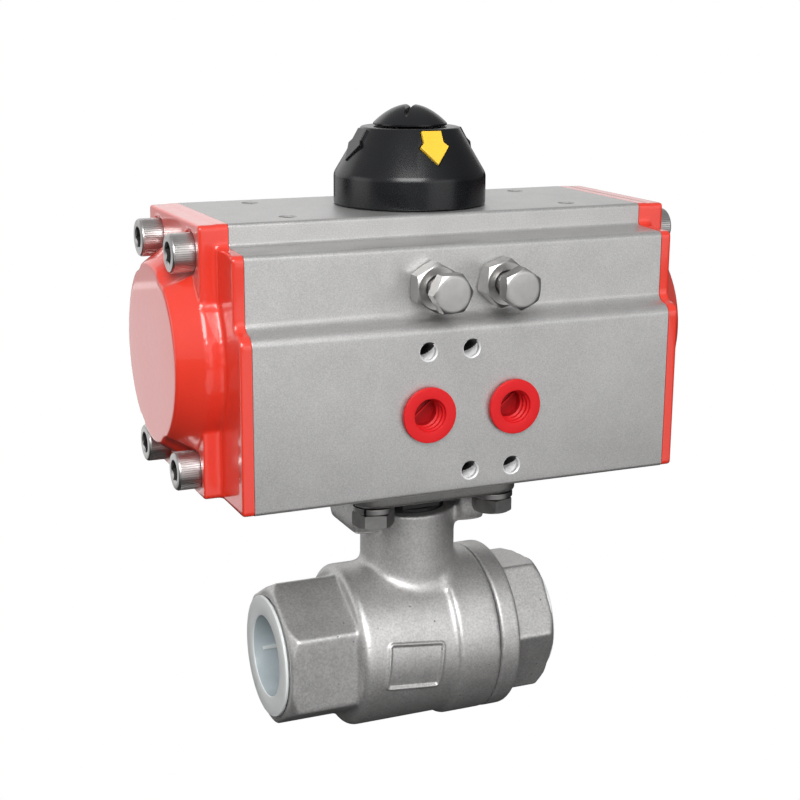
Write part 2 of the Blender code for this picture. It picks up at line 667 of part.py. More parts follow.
def pinion_outline():
    """Involute teeth; one tooth points along +Y and one along -Y."""
    base = PITCH_RADIUS * cos(PRESSURE_ANGLE)
    tip = PITCH_RADIUS + PINION_ADDENDUM
    root = PITCH_RADIUS - RACK_ADDENDUM - TIP_CLEARANCE
    half_at_pitch = (PITCH / 2 - BACKLASH) / (2 * PITCH_RADIUS)

    def half_angle(radius):
        roll = acos(min(1.0, base / radius))
        return half_at_pitch + tan(PRESSURE_ANGLE) - PRESSURE_ANGLE - (tan(roll) - roll)

    samples = 3
    radii = [base + (tip - base) * i / samples for i in range(samples + 1)]
    rising = [(root, -half_angle(base))] + [(radius, -half_angle(radius)) for radius in radii]
    tooth = rising + [(radius, -angle) for radius, angle in reversed(rising)]
    points = []
    for i in range(PINION_TEETH):
        middle = pi / 2 + 2 * pi * i / PINION_TEETH
        points += [(r * cos(middle + a), r * sin(middle + a)) for r, a in tooth]
    return points


def seal_grooves():
    """The O-ring grooves of the shaft, each with its journal radius, low end and high end."""
    width = SEAL_SECTION + 2 * GAP
    lower = ACTUATOR_BASE + GAP + GROOVE_LIP
    upper = BODY_TOP - GROOVE_LIP - width
    return {
        "lower": (LOWER_JOURNAL, lower, lower + width),
        "upper": (UPPER_JOURNAL, upper, upper + width),
    }


def drive_pinion(drive):
    """The shaft with its teeth, seal grooves, square socket below and stub above."""
    low = ACTUATOR_BASE + GAP
    _, groove_a, groove_b = seal_grooves()["lower"]
    _, groove_c, groove_d = seal_grooves()["upper"]
    gear_low = BORE_Z - PINION_HALF_HEIGHT
    gear_high = BORE_Z + PINION_HALF_HEIGHT
    clip = BODY_TOP + 2 * GAP + THRUST_WASHER
    clip_top = clip + CIRCLIP + 2 * GAP
    clip_seat = UPPER_JOURNAL - CIRCLIP_SINK
    stub_top = BODY_TOP + STUB_HEIGHT
    core = PITCH_RADIUS / 2
    lip = TIP_CLEARANCE
    lower_deep = LOWER_JOURNAL + BUSH_WALL - SEAL_SECTION
    upper_deep = UPPER_JOURNAL + BUSH_WALL - SEAL_SECTION
    shaft = turned([
        (low, 0), (low, LOWER_JOURNAL), (groove_a, LOWER_JOURNAL), (groove_a, lower_deep),
        (groove_b, lower_deep), (groove_b, LOWER_JOURNAL), (low + JOURNAL_LENGTH, LOWER_JOURNAL),
        (low + JOURNAL_LENGTH, WAIST_RADIUS), (gear_low + lip, WAIST_RADIUS), (gear_low + lip, core),
        (gear_high - lip, core), (gear_high - lip, UPPER_JOURNAL), (groove_c, UPPER_JOURNAL),
        (groove_c, upper_deep), (groove_d, upper_deep), (groove_d, UPPER_JOURNAL),
        (clip, UPPER_JOURNAL), (clip, clip_seat), (clip_top, clip_seat), (clip_top, UPPER_JOURNAL),
        (clip_top + CIRCLIP, UPPER_JOURNAL), (clip_top + CIRCLIP, STUB_RADIUS), (stub_top, STUB_RADIUS),
        (stub_top, 0),
    ])
    join(shaft, prism(pinion_outline(), "Z", gear_low, gear_high))
    half = SQUARE_DRIVE / 2
    cut(shaft, box((-half, -half, low - GAP), (half, half, ACTUATOR_BASE + DRIVE_DEPTH)))
    cut(shaft, rod(M6_HOLE, stub_top - SCREW_HOLD - GAP, stub_top + GAP, steps=DRILL_STEPS))
    named(shaft, "drive_pinion", "dark_steel", drive)


def shaft_fittings(drive):
    """Bushes, O-rings, thrust washer and circlip around the shaft."""
    lower_bush = ACTUATOR_BASE + BOTTOM_WALL - LOWER_BUSH_LENGTH
    upper_bush = BODY_TOP - TOP_WALL + GAP
    for name, journal, low, length in (("lower", LOWER_JOURNAL, lower_bush, LOWER_BUSH_LENGTH),
                                       ("upper", UPPER_JOURNAL, upper_bush, UPPER_BUSH_LENGTH)):
        bush = ring(journal + GAP, journal + GAP + BUSH_WALL, low, low + length)
        named(bush, name + "_shaft_bush", "white_polymer")
    for name, (journal, groove_low, groove_high) in seal_grooves().items():
        seal = o_ring(journal + GAP + BUSH_WALL, SEAL_SECTION, (groove_low + groove_high) / 2)
        named(seal, name + "_shaft_seal", "black_rubber", drive)
    washer_low = BODY_TOP + GAP
    washer = ring(UPPER_JOURNAL + GAP, UPPER_JOURNAL + THRUST_WASHER_WIDTH, washer_low,
                  washer_low + THRUST_WASHER)
    named(washer, "shaft_thrust_washer", "white_polymer", drive)
    clip_low = washer_low + THRUST_WASHER + 2 * GAP
    inner = UPPER_JOURNAL - CIRCLIP_SINK + GAP
    clip = ring(inner, inner + CIRCLIP_WIDTH, clip_low, clip_low + CIRCLIP)
    half = CIRCLIP_OPENING / 2
    past = inner + 2 * CIRCLIP_WIDTH
    cut(clip, box((0, -half, clip_low - GAP), (past, half, clip_low + CIRCLIP + GAP)))
    named(clip, "shaft_circlip", "dark_steel", drive)


def stop_cam(drive):
    """A cam with two flats, one for each stop bolt; the corner between them swings clear of the bolts."""
    low = STOP_Z - CAM_HEIGHT / 2
    rise = low + CAM_HEIGHT - BORE_Z
    reach = sqrt((BORE_RADIUS - PISTON_PLAY) ** 2 - rise ** 2) - GAP
    flat = STOP_REACH - GAP
    corner = hypot(STOP_SPACING / 2 - M6_RADIUS, STOP_REACH) - GAP
    bore = UPPER_JOURNAL + GAP
    steps = 72
    outline = []
    for i in range(steps):
        angle = 2 * pi * i / steps
        facing = max(-cos(angle), -sin(angle))
        radius = min(reach, flat / facing) if facing * reach > flat else reach
        if cos(angle) < 0 and sin(angle) < 0:
            radius = min(radius, corner)
        radius = max(radius, bore + CAM_HUB_WALL)
        outline.append((radius * cos(angle), radius * sin(angle)))
    cam = prism(outline, "Z", low, low + CAM_HEIGHT)
    cut(cam, rod(bore, low - GAP, low + CAM_HEIGHT + GAP))
    named(cam, "stop_cam", "dark_steel", drive)


def rack_outline(head_x, back):
    """The arm of the right piston with its rack, on the -Y side, before it moves."""
    root = PITCH_RADIUS + PINION_ADDENDUM + TIP_CLEARANCE
    tip = PITCH_RADIUS - RACK_ADDENDUM
    half = (PITCH / 2 - BACKLASH) / 2

    def half_width(depth):
        return half + (depth - PITCH_RADIUS) * tan(PRESSURE_ANGLE)

    count = round(TRAVEL / PITCH) + 2 * RACK_SPARE
    points = [(head_x, -root)]
    for i in range(count):
        middle = (RACK_SPARE - 0.5 - i) * PITCH
        points += [(middle + half_width(root), -root), (middle + half_width(tip), -tip),
                   (middle - half_width(tip), -tip), (middle - half_width(root), -root)]
    end = points[-1][0] - RACK_END
    return points + [(end, -root), (end, -back), (head_x, -back)]


def pistons():
    """Two pistons on one set of meshes, made for the right end and turned half round for the left."""
    outer_face = BODY_END + GAP - SPIGOT_LENGTH - END_PLAY - TRAVEL
    inner_face = outer_face - PISTON_THICKNESS
    radius = BORE_RADIUS - PISTON_PLAY
    seal_out = BORE_RADIUS - GAP
    band_groove = seal_out - BAND_THICKNESS - GAP
    seal_groove = seal_out - SEAL_SECTION - GAP
    band_start = inner_face + RING_LAND
    band_end = band_start + BAND_WIDTH + 2 * GAP
    seal_start = band_end + RING_LAND
    seal_end = seal_start + SEAL_SECTION + 2 * GAP
    piston = turned([
        (inner_face, 0), (inner_face, radius), (band_start, radius), (band_start, band_groove),
        (band_end, band_groove), (band_end, radius), (seal_start, radius), (seal_start, seal_groove),
        (seal_end, seal_groove), (seal_end, radius),
        (outer_face, radius), (outer_face, PISTON_HOLLOW),
        (outer_face - PISTON_HOLLOW_DEPTH, PISTON_HOLLOW), (outer_face - PISTON_HOLLOW_DEPTH, 0),
    ], "X", steps=BIG_STEPS)
    back = sqrt((BORE_RADIUS - RACK_BACK_MARGIN) ** 2 - RACK_HALF_HEIGHT ** 2)
    head_x = inner_face + RING_LAND / 2
    join(piston, prism(rack_outline(head_x, back), "Z", -RACK_HALF_HEIGHT, RACK_HALF_HEIGHT))
    named(piston, "piston", "anodised_aluminium")
    band = ring(seal_out - BAND_THICKNESS, seal_out, band_start + GAP, band_end - GAP, "X",
                steps=BIG_STEPS)
    named(band, "guide_band", "white_polymer")
    seal = o_ring(seal_out, SEAL_SECTION, (seal_start + seal_end) / 2, "X", steps=BIG_STEPS)
    named(seal, "piston_seal", "black_rubber")
    for name, side in SIDES.items():
        turn = Matrix.Rotation(0 if side > 0 else pi, 4, "Z")
        slide = axis_empty("piston_axis_" + name, Matrix.Translation((0, 0, BORE_Z)) @ turn)
        for piece in (piston, band, seal):
            copy_of(piece, f"{piece.name}_{name}", Matrix(), slide)
    for piece in (piston, band, seal):
        bpy.data.objects.remove(piece, do_unlink=True)


def stop_bolts():
    """Stop bolts with their lock nuts on the middle section of the front."""
    nut_back = -MID_FRONT - GAP
    nut_front = nut_back - M6_NUT
    under_head = nut_front - STOP_BARE
    for (name, side), nut_turn, head_turn in zip(SIDES.items(), STOP_NUT_TURNS, STOP_HEAD_TURNS):
        x = side * STOP_SPACING / 2
        axis = (x, 0, STOP_Z)
        place = Matrix.Translation(axis)
        nut = prism(hexagon(STOP_NUT_ACROSS, pi / 2 + nut_turn), "Y", nut_front, nut_back, place)
        cut(nut, rod(M6_HOLE, nut_front - GAP, nut_back + GAP, "Y", axis, SMALL_STEPS))
        named(nut, "stop_nut_" + name, "bright_steel")
        head = hexagon(M6_ACROSS, pi / 2 + head_turn)
        bolt = prism(head, "Y", under_head - M6_HEAD, under_head, place)
        join(bolt, rod(M6_RADIUS, under_head - M6_HEAD / 2, -STOP_REACH, "Y", axis, SMALL_STEPS))
        named(bolt, "stop_bolt_" + name, "bright_steel")


def port_plugs():
    """Plastic plugs with a stepped hollow in the two air ports."""
    seat = -LOW_FRONT - GAP
    front = seat - PLUG_FLANGE
    end = seat + PLUG_LENGTH
    body = PORT_RADIUS - GAP
    middle = (front + end) / 2
    inner = PLUG_HOLLOW - PLUG_STEP
    for name, side in SIDES.items():
        plug = turned([
            (end, 0), (end, body), (seat, body), (seat, PLUG_FLANGE_RADIUS), (front, PLUG_FLANGE_RADIUS),
            (front, PLUG_HOLLOW), (middle, PLUG_HOLLOW), (middle, inner), (end - PLUG_FLOOR, inner),
            (end - PLUG_FLOOR, 0),
        ], "Y", (side * PORT_SPACING / 2, 0, PORT_Z), SMALL_STEPS)
        named(plug, "port_plug_" + name, "red_plastic")


def arrow(margin, low, high, turn):
    """A down-pointing arrow prism on the cone of the indicator, turned about the shaft."""
    slope = Vector((0, SKIRT_RADIUS - CONE_TOP_RADIUS, CONE_HEIGHT)).normalized()
    outward = Vector((0, -slope.z, slope.y))
    foot = Vector((0, -SKIRT_RADIUS, BODY_TOP + GAP + SKIRT_HEIGHT))
    frame = Matrix((Vector((1, 0, 0)), slope, outward)).transposed().to_4x4()
    outline = [
        (0, ARROW_TIP - 2 * margin),
        (ARROW_HALF_WIDTH + margin, ARROW_SHOULDER - margin / 2),
        (ARROW_HALF_WIDTH + margin, ARROW_SHOULDER + margin),
        (ARROW_STEM_HALF + margin, ARROW_NOTCH + margin),
        (ARROW_STEM_HALF + margin, ARROW_TOP + margin),
    ]
    outline += [(-x, up) for x, up in reversed(outline[1:])]
    place = Matrix.Rotation(turn, 4, "Z") @ Matrix.Translation(foot) @ frame
    return prism(outline, "Z", low, high, place)


def indicator(drive):
    """The black cup with its arrows, and the mushroom-headed screw that holds it."""
    low = BODY_TOP + GAP
    cone_low = low + SKIRT_HEIGHT
    top = cone_low + CONE_HEIGHT
    floor = BODY_TOP + STUB_HEIGHT + GAP
    slant = hypot(CONE_HEIGHT, SKIRT_RADIUS - CONE_TOP_RADIUS)
    across = CUP_WALL * slant / CONE_HEIGHT
    taper = (SKIRT_RADIUS - CONE_TOP_RADIUS) / CONE_HEIGHT
    inner_top = SKIRT_RADIUS - taper * (floor - cone_low) - across
    cup = turned([
        (low, SKIRT_RADIUS - across), (low, SKIRT_RADIUS), (cone_low, SKIRT_RADIUS),
        (top, CONE_TOP_RADIUS), (top, M6_HOLE), (floor, M6_HOLE), (floor, inner_top),
        (cone_low, SKIRT_RADIUS - across),
    ], steps=BIG_STEPS)
    for quarter in range(4):
        turn = quarter * pi / 2
        if quarter % 2:
            join(cup, arrow(0, -ARROW_SUNK, ARROW_PROUD, turn))
        else:
            cut(cup, arrow(GAP, -ARROW_SUNK - GAP, CUP_WALL, turn))
            name = "front" if quarter == 0 else "rear"
            insert = arrow(0, -ARROW_SUNK, ARROW_PROUD, turn)
            named(insert, "arrow_insert_" + name, "yellow_plastic", drive)
    named(cup, "indicator_cup", "black_plastic", drive)
    under = top + GAP
    rim = under + MUSHROOM_RIM
    steps = 5
    parts = [(steps - i) / steps for i in range(steps + 1)]
    head = [(rim + MUSHROOM_RISE * (1 - s ** MUSHROOM_POWER), MUSHROOM_RADIUS * s) for s in parts]
    shank_end = BODY_TOP + STUB_HEIGHT - SCREW_HOLD
    shank = [(shank_end, 0), (shank_end, M6_RADIUS), (under, M6_RADIUS), (under, MUSHROOM_RADIUS)]
    screw = turned(shank + head)
    peak = rim + MUSHROOM_RISE
    half = MUSHROOM_SLOT / 2
    slot = [(-half, -SKIRT_RADIUS), (half, -SKIRT_RADIUS), (half, SKIRT_RADIUS), (-half, SKIRT_RADIUS)]
    turn = Matrix.Rotation(SLOT_TURN, 4, "Z")
    cut(screw, prism(slot, "Z", peak - SLOT_DEPTH, peak + GAP, turn))
    named(screw, "indicator_screw", "black_plastic", drive)


def hex_end(end, inner, turn):
    """A hexagon pipe end with a turned chamfer on its outer face."""
    corner = HEX_ACROSS / sqrt(3)
    toward = 1 if inner > end else -1
    low, high = sorted((end - toward * GAP, inner))
    body = prism(hexagon(HEX_ACROSS, turn, HEX_ROUND), "X", low, high)
    chamfer = corner - END_FACE_RADIUS + GAP
    wide = END_FACE_RADIUS + chamfer
    past = inner + toward * GAP
    outline = [
        (end, 0), (end, FREE_FACE_RADIUS), (end, END_FACE_RADIUS), (end + toward * chamfer, wide),
        (past, wide), (past, 0),
    ]
    return trim(body, turned(outline, "X", steps=BIG_STEPS))


def valve_body():
    """One casting: hexagon end, barrel, neck, pillars and pad, bored for the ball and the stem."""
    bend_steps = 3
    bend = [pi / 2 * i / bend_steps for i in range(bend_steps + 1)]
    middle_x = BARREL_LEFT + SHOULDER_ROUND
    middle_r = BARREL_RADIUS - SHOULDER_ROUND
    shoulder = [(middle_x - SHOULDER_ROUND * cos(a), middle_r + SHOULDER_ROUND * sin(a)) for a in bend]
    step = COLLAR_RADIUS - BARREL_RADIUS
    body = turned([(BARREL_LEFT, 0)] + shoulder + [
        (BARREL_STEP, BARREL_RADIUS), (BARREL_STEP + step, COLLAR_RADIUS),
        (BARREL_RIGHT, COLLAR_RADIUS), (BARREL_RIGHT, 0),
    ], "X", steps=BIG_STEPS)
    join(body, hex_end(LEFT_END, BARREL_LEFT + SHOULDER_ROUND, LEFT_HEX_TURN))
    join(body, rod(NECK_RADIUS, 0, NECK_TOP))
    for side in SIDES.values():
        near, far = sorted((side * PILLAR_INSIDE, side * PILLAR_OUTSIDE))
        join(body, box((near, -PILLAR_HALF_WIDTH, NECK_TOP - PILLAR_DROP),
                       (far, PILLAR_HALF_WIDTH, PAD_BOTTOM + PAD_THICKNESS / 2)))
    wide = PAD_HALF_WIDTH
    square = [(-wide, -wide, PAD_CORNER), (wide, -wide, PAD_CORNER),
              (wide, wide, PAD_CORNER), (-wide, wide, PAD_CORNER)]
    join(body, prism(rounded(square, 4), "Z", PAD_BOTTOM, PAD_TOP))
    cut_flow_way(body)
    cut_stem_way(body)
    named(body, "valve_body", "cast_stainless")


def cut_flow_way(body):
    """Pipe thread, seat pocket, ball chamber and the bore for the end cap."""
    seat_back = SEAT_BACK + GAP
    pocket = SEAT_RADIUS + GAP
    spigot = SPIGOT_RADIUS + GAP
    mouth = THREAD_RADIUS + MOUTH_CHAMFER
    cut(body, turned([
        (LEFT_END - GAP, 0), (LEFT_END - GAP, mouth), (LEFT_END + MOUTH_CHAMFER, THREAD_RADIUS),
        (-THREAD_START, THREAD_RADIUS), (-THREAD_START, FLOW_RADIUS), (-seat_back, FLOW_RADIUS),
        (-seat_back, pocket), (-SEAT_RIM, pocket), (-SEAT_RIM, CHAMBER_RADIUS),
        (SEAL_SEAT, CHAMBER_RADIUS), (SEAL_SEAT, spigot), (BARREL_RIGHT + GAP, spigot),
        (BARREL_RIGHT + GAP, 0),
    ], "X", steps=BIG_STEPS))


def cut_stem_way(body):
    """Collar pocket, stem hole, packing chamber, pad hole and bolt holes."""
    packing_floor = PACKING_LOW - GAP
    cut(body, rod(STEM_COLLAR_RADIUS + GAP, BALL_RADIUS / 2, COLLAR_POCKET_TOP))
    cut(body, rod(STEM_HOLE, BALL_RADIUS, packing_floor + GAP))
    cut(body, rod(PACKING_RADIUS + GAP, packing_floor, NECK_TOP + GAP))
    cut(body, rod(PAD_HOLE_RADIUS, PAD_BOTTOM - GAP, PAD_TOP + GAP))
    for x, y in pad_bolt_places():
        cut(body, rod(M6_HOLE, PAD_BOTTOM - GAP, PAD_TOP + GAP, "Z", (x, y, 0), DRILL_STEPS))


def valve_end_cap():
    """The screwed-in half of the valve, with the right pipe end."""
    start = SPIGOT_START
    rim = BARREL_RIGHT + GAP
    rim_end = rim + RIM_WIDTH
    seat_back = SEAT_BACK + GAP
    cap = turned([
        (start, 0), (start, SPIGOT_RADIUS), (rim, SPIGOT_RADIUS), (rim, COLLAR_RADIUS),
        (rim_end - RIM_CHAMFER, COLLAR_RADIUS), (rim_end, COLLAR_RADIUS - RIM_CHAMFER), (rim_end, 0),
    ], "X", steps=BIG_STEPS)
    join(cap, hex_end(RIGHT_END, rim_end - RIM_WIDTH / 2, RIGHT_HEX_TURN))
    pocket = SEAT_RADIUS + GAP
    mouth = THREAD_RADIUS + MOUTH_CHAMFER
    cut(cap, turned([
        (start - GAP, 0), (start - GAP, pocket), (seat_back, pocket), (seat_back, FLOW_RADIUS),
        (THREAD_START, FLOW_RADIUS), (THREAD_START, THREAD_RADIUS),
        (RIGHT_END - MOUTH_CHAMFER, THREAD_RADIUS), (RIGHT_END + GAP, mouth), (RIGHT_END + GAP, 0),
    ], "X"))
    named(cap, "valve_end_cap", "cast_stainless")


def valve_internals(drive):
    """Ball, seats and body seal."""
    ball_steps = 12
    arc = [pi * i / ball_steps for i in range(ball_steps + 1)]
    ball = turned([(-BALL_RADIUS * cos(a), BALL_RADIUS * sin(a) if 0 < i < ball_steps else 0)
                   for i, a in enumerate(arc)], "Y")
    cut(ball, rod(FLOW_RADIUS, -BALL_RADIUS - GAP, BALL_RADIUS + GAP, "Y", steps=STEPS))
    slot = TANG_THICKNESS / 2 + GAP
    cut(ball, box((-BALL_RADIUS, -slot, TANG_BOTTOM - GAP), (BALL_RADIUS, slot, 2 * BALL_RADIUS)))
    named(ball, "ball", "polished_stainless", drive)
    bowl = BALL_RADIUS + GAP
    inner = FLOW_RADIUS + GAP
    arc_steps = 3
    curve = [inner + (SEAT_RADIUS - inner) * i / arc_steps for i in range(arc_steps + 1)]
    for name, side in SIDES.items():
        face = [(side * sqrt(bowl ** 2 - radius ** 2), radius) for radius in curve]
        seat = turned(face + [(side * SEAT_BACK, SEAT_RADIUS), (side * SEAT_BACK, inner)], "X")
        named(seat, "valve_seat_" + name, "white_polymer")
    start = SEAL_SEAT + GAP
    seal = ring(CHAMBER_RADIUS + GAP, SPIGOT_RADIUS, start, start + BODY_SEAL, "X", steps=BIG_STEPS)
    named(seal, "body_seal", "white_polymer")


def stem_pieces(drive):
    """The stem with its thrust washer, packing, gland ring and gland nut."""
    shank_top = PAD_TOP - PAD_THICKNESS / 2
    stem = turned([
        (STEM_COLLAR_LOW, 0), (STEM_COLLAR_LOW, STEM_COLLAR_RADIUS),
        (STEM_COLLAR_TOP, STEM_COLLAR_RADIUS), (STEM_COLLAR_TOP, STEM_RADIUS),
        (shank_top, STEM_RADIUS), (shank_top, 0),
    ])
    half = TANG_THICKNESS / 2
    join(stem, box((-STEM_RADIUS, -half, TANG_BOTTOM), (STEM_RADIUS, half, STEM_COLLAR_LOW + GAP)))
    square = SQUARE_DRIVE / 2 - GAP
    square_top = ACTUATOR_BASE + DRIVE_DEPTH - GAP
    join(stem, box((-square, -square, shank_top - GAP), (square, square, square_top)))
    named(stem, "valve_stem", "polished_stainless", drive)
    washer_low = STEM_COLLAR_TOP + GAP
    washer = ring(STEM_HOLE, STEM_COLLAR_RADIUS, washer_low, washer_low + STEM_WASHER)
    named(washer, "stem_thrust_washer", "white_polymer", drive)
    packing = ring(STEM_HOLE, PACKING_RADIUS, PACKING_LOW, PACKING_LOW + PACKING_LENGTH)
    named(packing, "stem_packing", "white_polymer")
    gland = ring(STEM_HOLE, PACKING_RADIUS, GLAND_LOW, GLAND_TOP)
    named(gland, "gland_ring", "polished_stainless")
    nut_low = GLAND_TOP + GAP
    nut = prism(hexagon(GLAND_NUT_ACROSS), "Z", nut_low, nut_low + GLAND_NUT)
    cut(nut, rod(STEM_HOLE, nut_low - GAP, nut_low + GLAND_NUT + GAP))
    named(nut, "gland_nut", "polished_stainless", drive)


def pad_fasteners():
    """Hexagon bolts with spring washers, up through the pad into the actuator."""
    washer_low = -GAP - SPRING_WASHER
    washer = ring(M6_HOLE, SPRING_WASHER_RADIUS, washer_low, -GAP, steps=SMALL_STEPS)
    split = WASHER_SPLIT / 2
    cut(washer, box((0, -split, washer_low - GAP), (2 * SPRING_WASHER_RADIUS, split, 0)))
    named(washer, "pad_washer", "bright_steel")
    head_top = washer_low - GAP
    bolt = prism(hexagon(M6_ACROSS), "Z", head_top - M6_HEAD, head_top)
    reach = PAD_THICKNESS + GAP + THREAD_DEPTH - 2 * GAP
    join(bolt, rod(M6_RADIUS, head_top - M6_HEAD / 2, reach, steps=SMALL_STEPS))
    named(bolt, "pad_bolt", "bright_steel")
    for x, y in pad_bolt_places():
        corner = ("front" if y < 0 else "rear") + ("_left" if x < 0 else "_right")
        turn = Matrix.Rotation(atan2(y, x), 4, "Z")
        place = Matrix.Translation((x, y, PAD_BOTTOM)) @ turn
        copy_of(washer, "pad_washer_" + corner, place)
        copy_of(bolt, "pad_bolt_" + corner, place)
    for piece in (washer, bolt):
        bpy.data.objects.remove(piece, do_unlink=True)


def thread_protectors():
    """Push-in plastic cups that keep the pipe threads clean."""
    body = THREAD_RADIUS - GAP
    for name, side, end in (("left", -1, LEFT_END), ("right", 1, RIGHT_END)):
        seat = end + side * GAP
        face = seat + side * PROTECTOR_FLANGE
        bottom = seat - side * PROTECTOR_LENGTH
        floor = bottom + side * PROTECTOR_FLOOR
        cup = turned([
            (bottom, 0), (bottom, body), (seat, body), (seat, PROTECTOR_FLANGE_RADIUS),
            (face, PROTECTOR_FLANGE_RADIUS), (face, PROTECTOR_HOLLOW), (floor, PROTECTOR_HOLLOW),
            (floor, 0),
        ], "X")
        named(cup, "thread_protector_" + name, "milky_plastic")


def build():
    drive = axis_empty("drive_axis", Matrix())
    actuator_body()
    end_caps()
    cap_screws()
    drive_pinion(drive)
    shaft_fittings(drive)
    stop_cam(drive)
    pistons()
    stop_bolts()
    port_plugs()
    indicator(drive)
    valve_body()
    valve_end_cap()
    valve_internals(drive)
    stem_pieces(drive)
    pad_fasteners()
    thread_protectors()


build()
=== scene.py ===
# %% [markdown]
# # A pneumatic actuated valve
# This object is a quarter-turn actuator, an aluminium body between two red end caps, bolted onto a cast
# stainless ball valve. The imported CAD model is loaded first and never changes: it says where every piece is.
# The lesson then makes the pieces that show again, with the soft edges, threads and cast surfaces of the
# real ones, and gives every piece a finish made of shader nodes.

# %% Load the frame
import json
from math import atan2, cos, exp, hypot, pi, radians, sin, sqrt, tan
import bpy
import bmesh
from mathutils import Matrix, Vector


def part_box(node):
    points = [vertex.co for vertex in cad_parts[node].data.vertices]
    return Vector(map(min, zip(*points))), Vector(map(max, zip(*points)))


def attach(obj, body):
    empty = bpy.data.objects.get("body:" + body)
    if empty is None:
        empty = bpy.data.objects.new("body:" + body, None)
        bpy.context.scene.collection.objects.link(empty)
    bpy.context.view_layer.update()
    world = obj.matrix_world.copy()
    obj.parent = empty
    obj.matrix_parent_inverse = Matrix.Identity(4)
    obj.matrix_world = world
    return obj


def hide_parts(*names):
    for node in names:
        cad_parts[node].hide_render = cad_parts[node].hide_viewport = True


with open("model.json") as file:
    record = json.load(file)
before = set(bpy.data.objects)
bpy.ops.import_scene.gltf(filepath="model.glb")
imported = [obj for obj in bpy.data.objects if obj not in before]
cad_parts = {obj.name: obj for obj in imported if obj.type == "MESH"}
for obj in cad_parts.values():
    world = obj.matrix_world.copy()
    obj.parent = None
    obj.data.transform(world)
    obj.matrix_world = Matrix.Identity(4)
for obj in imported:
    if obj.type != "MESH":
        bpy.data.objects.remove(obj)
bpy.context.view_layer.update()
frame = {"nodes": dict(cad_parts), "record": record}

MM = 0.001
SCENE = bpy.context.scene

# %% [markdown]
# ## The camera
# The photograph was taken from the left of the front and a little above, with a fairly long lens. Its place
# was fitted to edges of known size, so it is given here as numbers: where it stands, how far it looks to the
# side and down, and a very small roll.

# %% Camera
CAMERA_PLACE = (-0.17073, -0.38497, 0.17556)
SIDEWAYS, DOWN, ROLL = radians(-23.62), radians(14.15), radians(0.37)
camera = bpy.data.objects.new("camera", bpy.data.cameras.new("camera"))
SCENE.collection.objects.link(camera)
camera.data.sensor_width = 36
camera.data.lens = 70.276
turn = Matrix.Rotation(SIDEWAYS, 4, "Z") @ Matrix.Rotation(pi / 2 - DOWN, 4, "X")
camera.matrix_world = Matrix.Translation(CAMERA_PLACE) @ turn @ Matrix.Rotation(ROLL, 4, "Z")
SCENE.camera = camera
print("camera to object:", round((camera.location - Vector((0, 0, 0.07))).length, 3), "m")

# %% [markdown]
# ## Nodes as expressions
# Materials mix many small sums, such as one minus a mask. Wiring each sum by hand hides the idea, so one
# small class stands for an output socket: Python operators on it add Math nodes, and one method adds any
# other node, first its settings and then its sockets.


# %% A socket that does sums
class Value:
    """An output socket of a node tree; operators on it add Math nodes."""

    def __init__(self, tree, socket=None):
        self.tree = tree
        self.socket = socket

    def node(self, kind, settings=None, sockets=None, output=0):
        """Add a node: settings first, then a value or a link for each socket."""
        made = self.tree.nodes.new("ShaderNode" + kind)
        for name, value in (settings or {}).items():
            setattr(made, name, value)
        for key, value in (sockets or {}).items():
            if isinstance(value, Value):
                self.tree.links.new(value.socket, made.inputs[key])
            else:
                made.inputs[key].default_value = value
        return Value(self.tree, made.outputs[output])

    def sum(self, operation, first, second):
        return self.node("Math", {"operation": operation}, {0: first, 1: second})

    def __add__(self, other):
        return self.sum("ADD", self, other)

    def __sub__(self, other):
        return self.sum("SUBTRACT", self, other)

    def __rsub__(self, other):
        return self.sum("SUBTRACT", other, self)

    def __mul__(self, other):
        return self.sum("MULTIPLY", self, other)

    __radd__ = __add__
    __rmul__ = __mul__

    def between(self, low, high):
        """0 under low, 1 over high, and smooth in between."""
        return self.node("MapRange", {"interpolation_type": "SMOOTHSTEP"}, {0: self, 1: low, 2: high})

    def blend(self, first, second):
        """A colour between two, with this value as the factor."""
        return self.node("Mix", {"data_type": "RGBA"}, {0: self, 6: first, 7: second}, output=2)

    def grain(self, size_mm, detail=2.0, roughness=0.5):
        """Noise whose lumps are about a size in millimetres, with this value as its coordinates."""
        sockets = {"Vector": self, "Scale": 1 / (size_mm * MM), "Detail": detail, "Roughness": roughness}
        return self.node("TexNoise", None, sockets)

    def stretched(self, x, y, z):
        return self.node("Mapping", None, {"Vector": self, "Scale": (x, y, z)})

    def axis(self, letter):
        """One of a vector's three numbers."""
        return self.node("SeparateXYZ", None, {0: self}, output=letter)

    def relief(self, depth_mm, strength=1.0):
        """A bump whose height is this value times a depth."""
        return self.node("Bump", None, {"Height": self, "Distance": depth_mm * MM, "Strength": strength})


# %% [markdown]
# ## Starting a finish
# Every finish begins in the same way: a new material, the numbers that are the same all over it, and object
# coordinates to hang its patterns on, because those stay with a piece when it moves. Numbers go straight onto
# the shader's sockets. A function that makes the links comes back too, so a finish reads as a short recipe.

# %% Greys and new finishes
FINISH = {}


def grey(level, warm=0.0):
    return (level * (1 + warm), level, level * (1 - warm), 1.0)


def finish(name, **fixed):
    """A new material with fixed numbers on its shader, its object coordinates and a function that links."""
    material = bpy.data.materials.new(name)
    material.use_nodes = True
    tree = material.node_tree
    shader = tree.nodes["Principled BSDF"]
    socket_called = {socket.name.lower().replace(" ", "_"): socket for socket in shader.inputs}
    for name_of_socket, value in fixed.items():
        socket_called[name_of_socket].default_value = value

    def wire(**links):
        for name_of_socket, value in links.items():
            tree.links.new(value.socket, socket_called[name_of_socket])

    place = Value(tree).node("TexCoord", output="Object")
    FINISH[name] = material
    print("finish", name)
    return place, wire


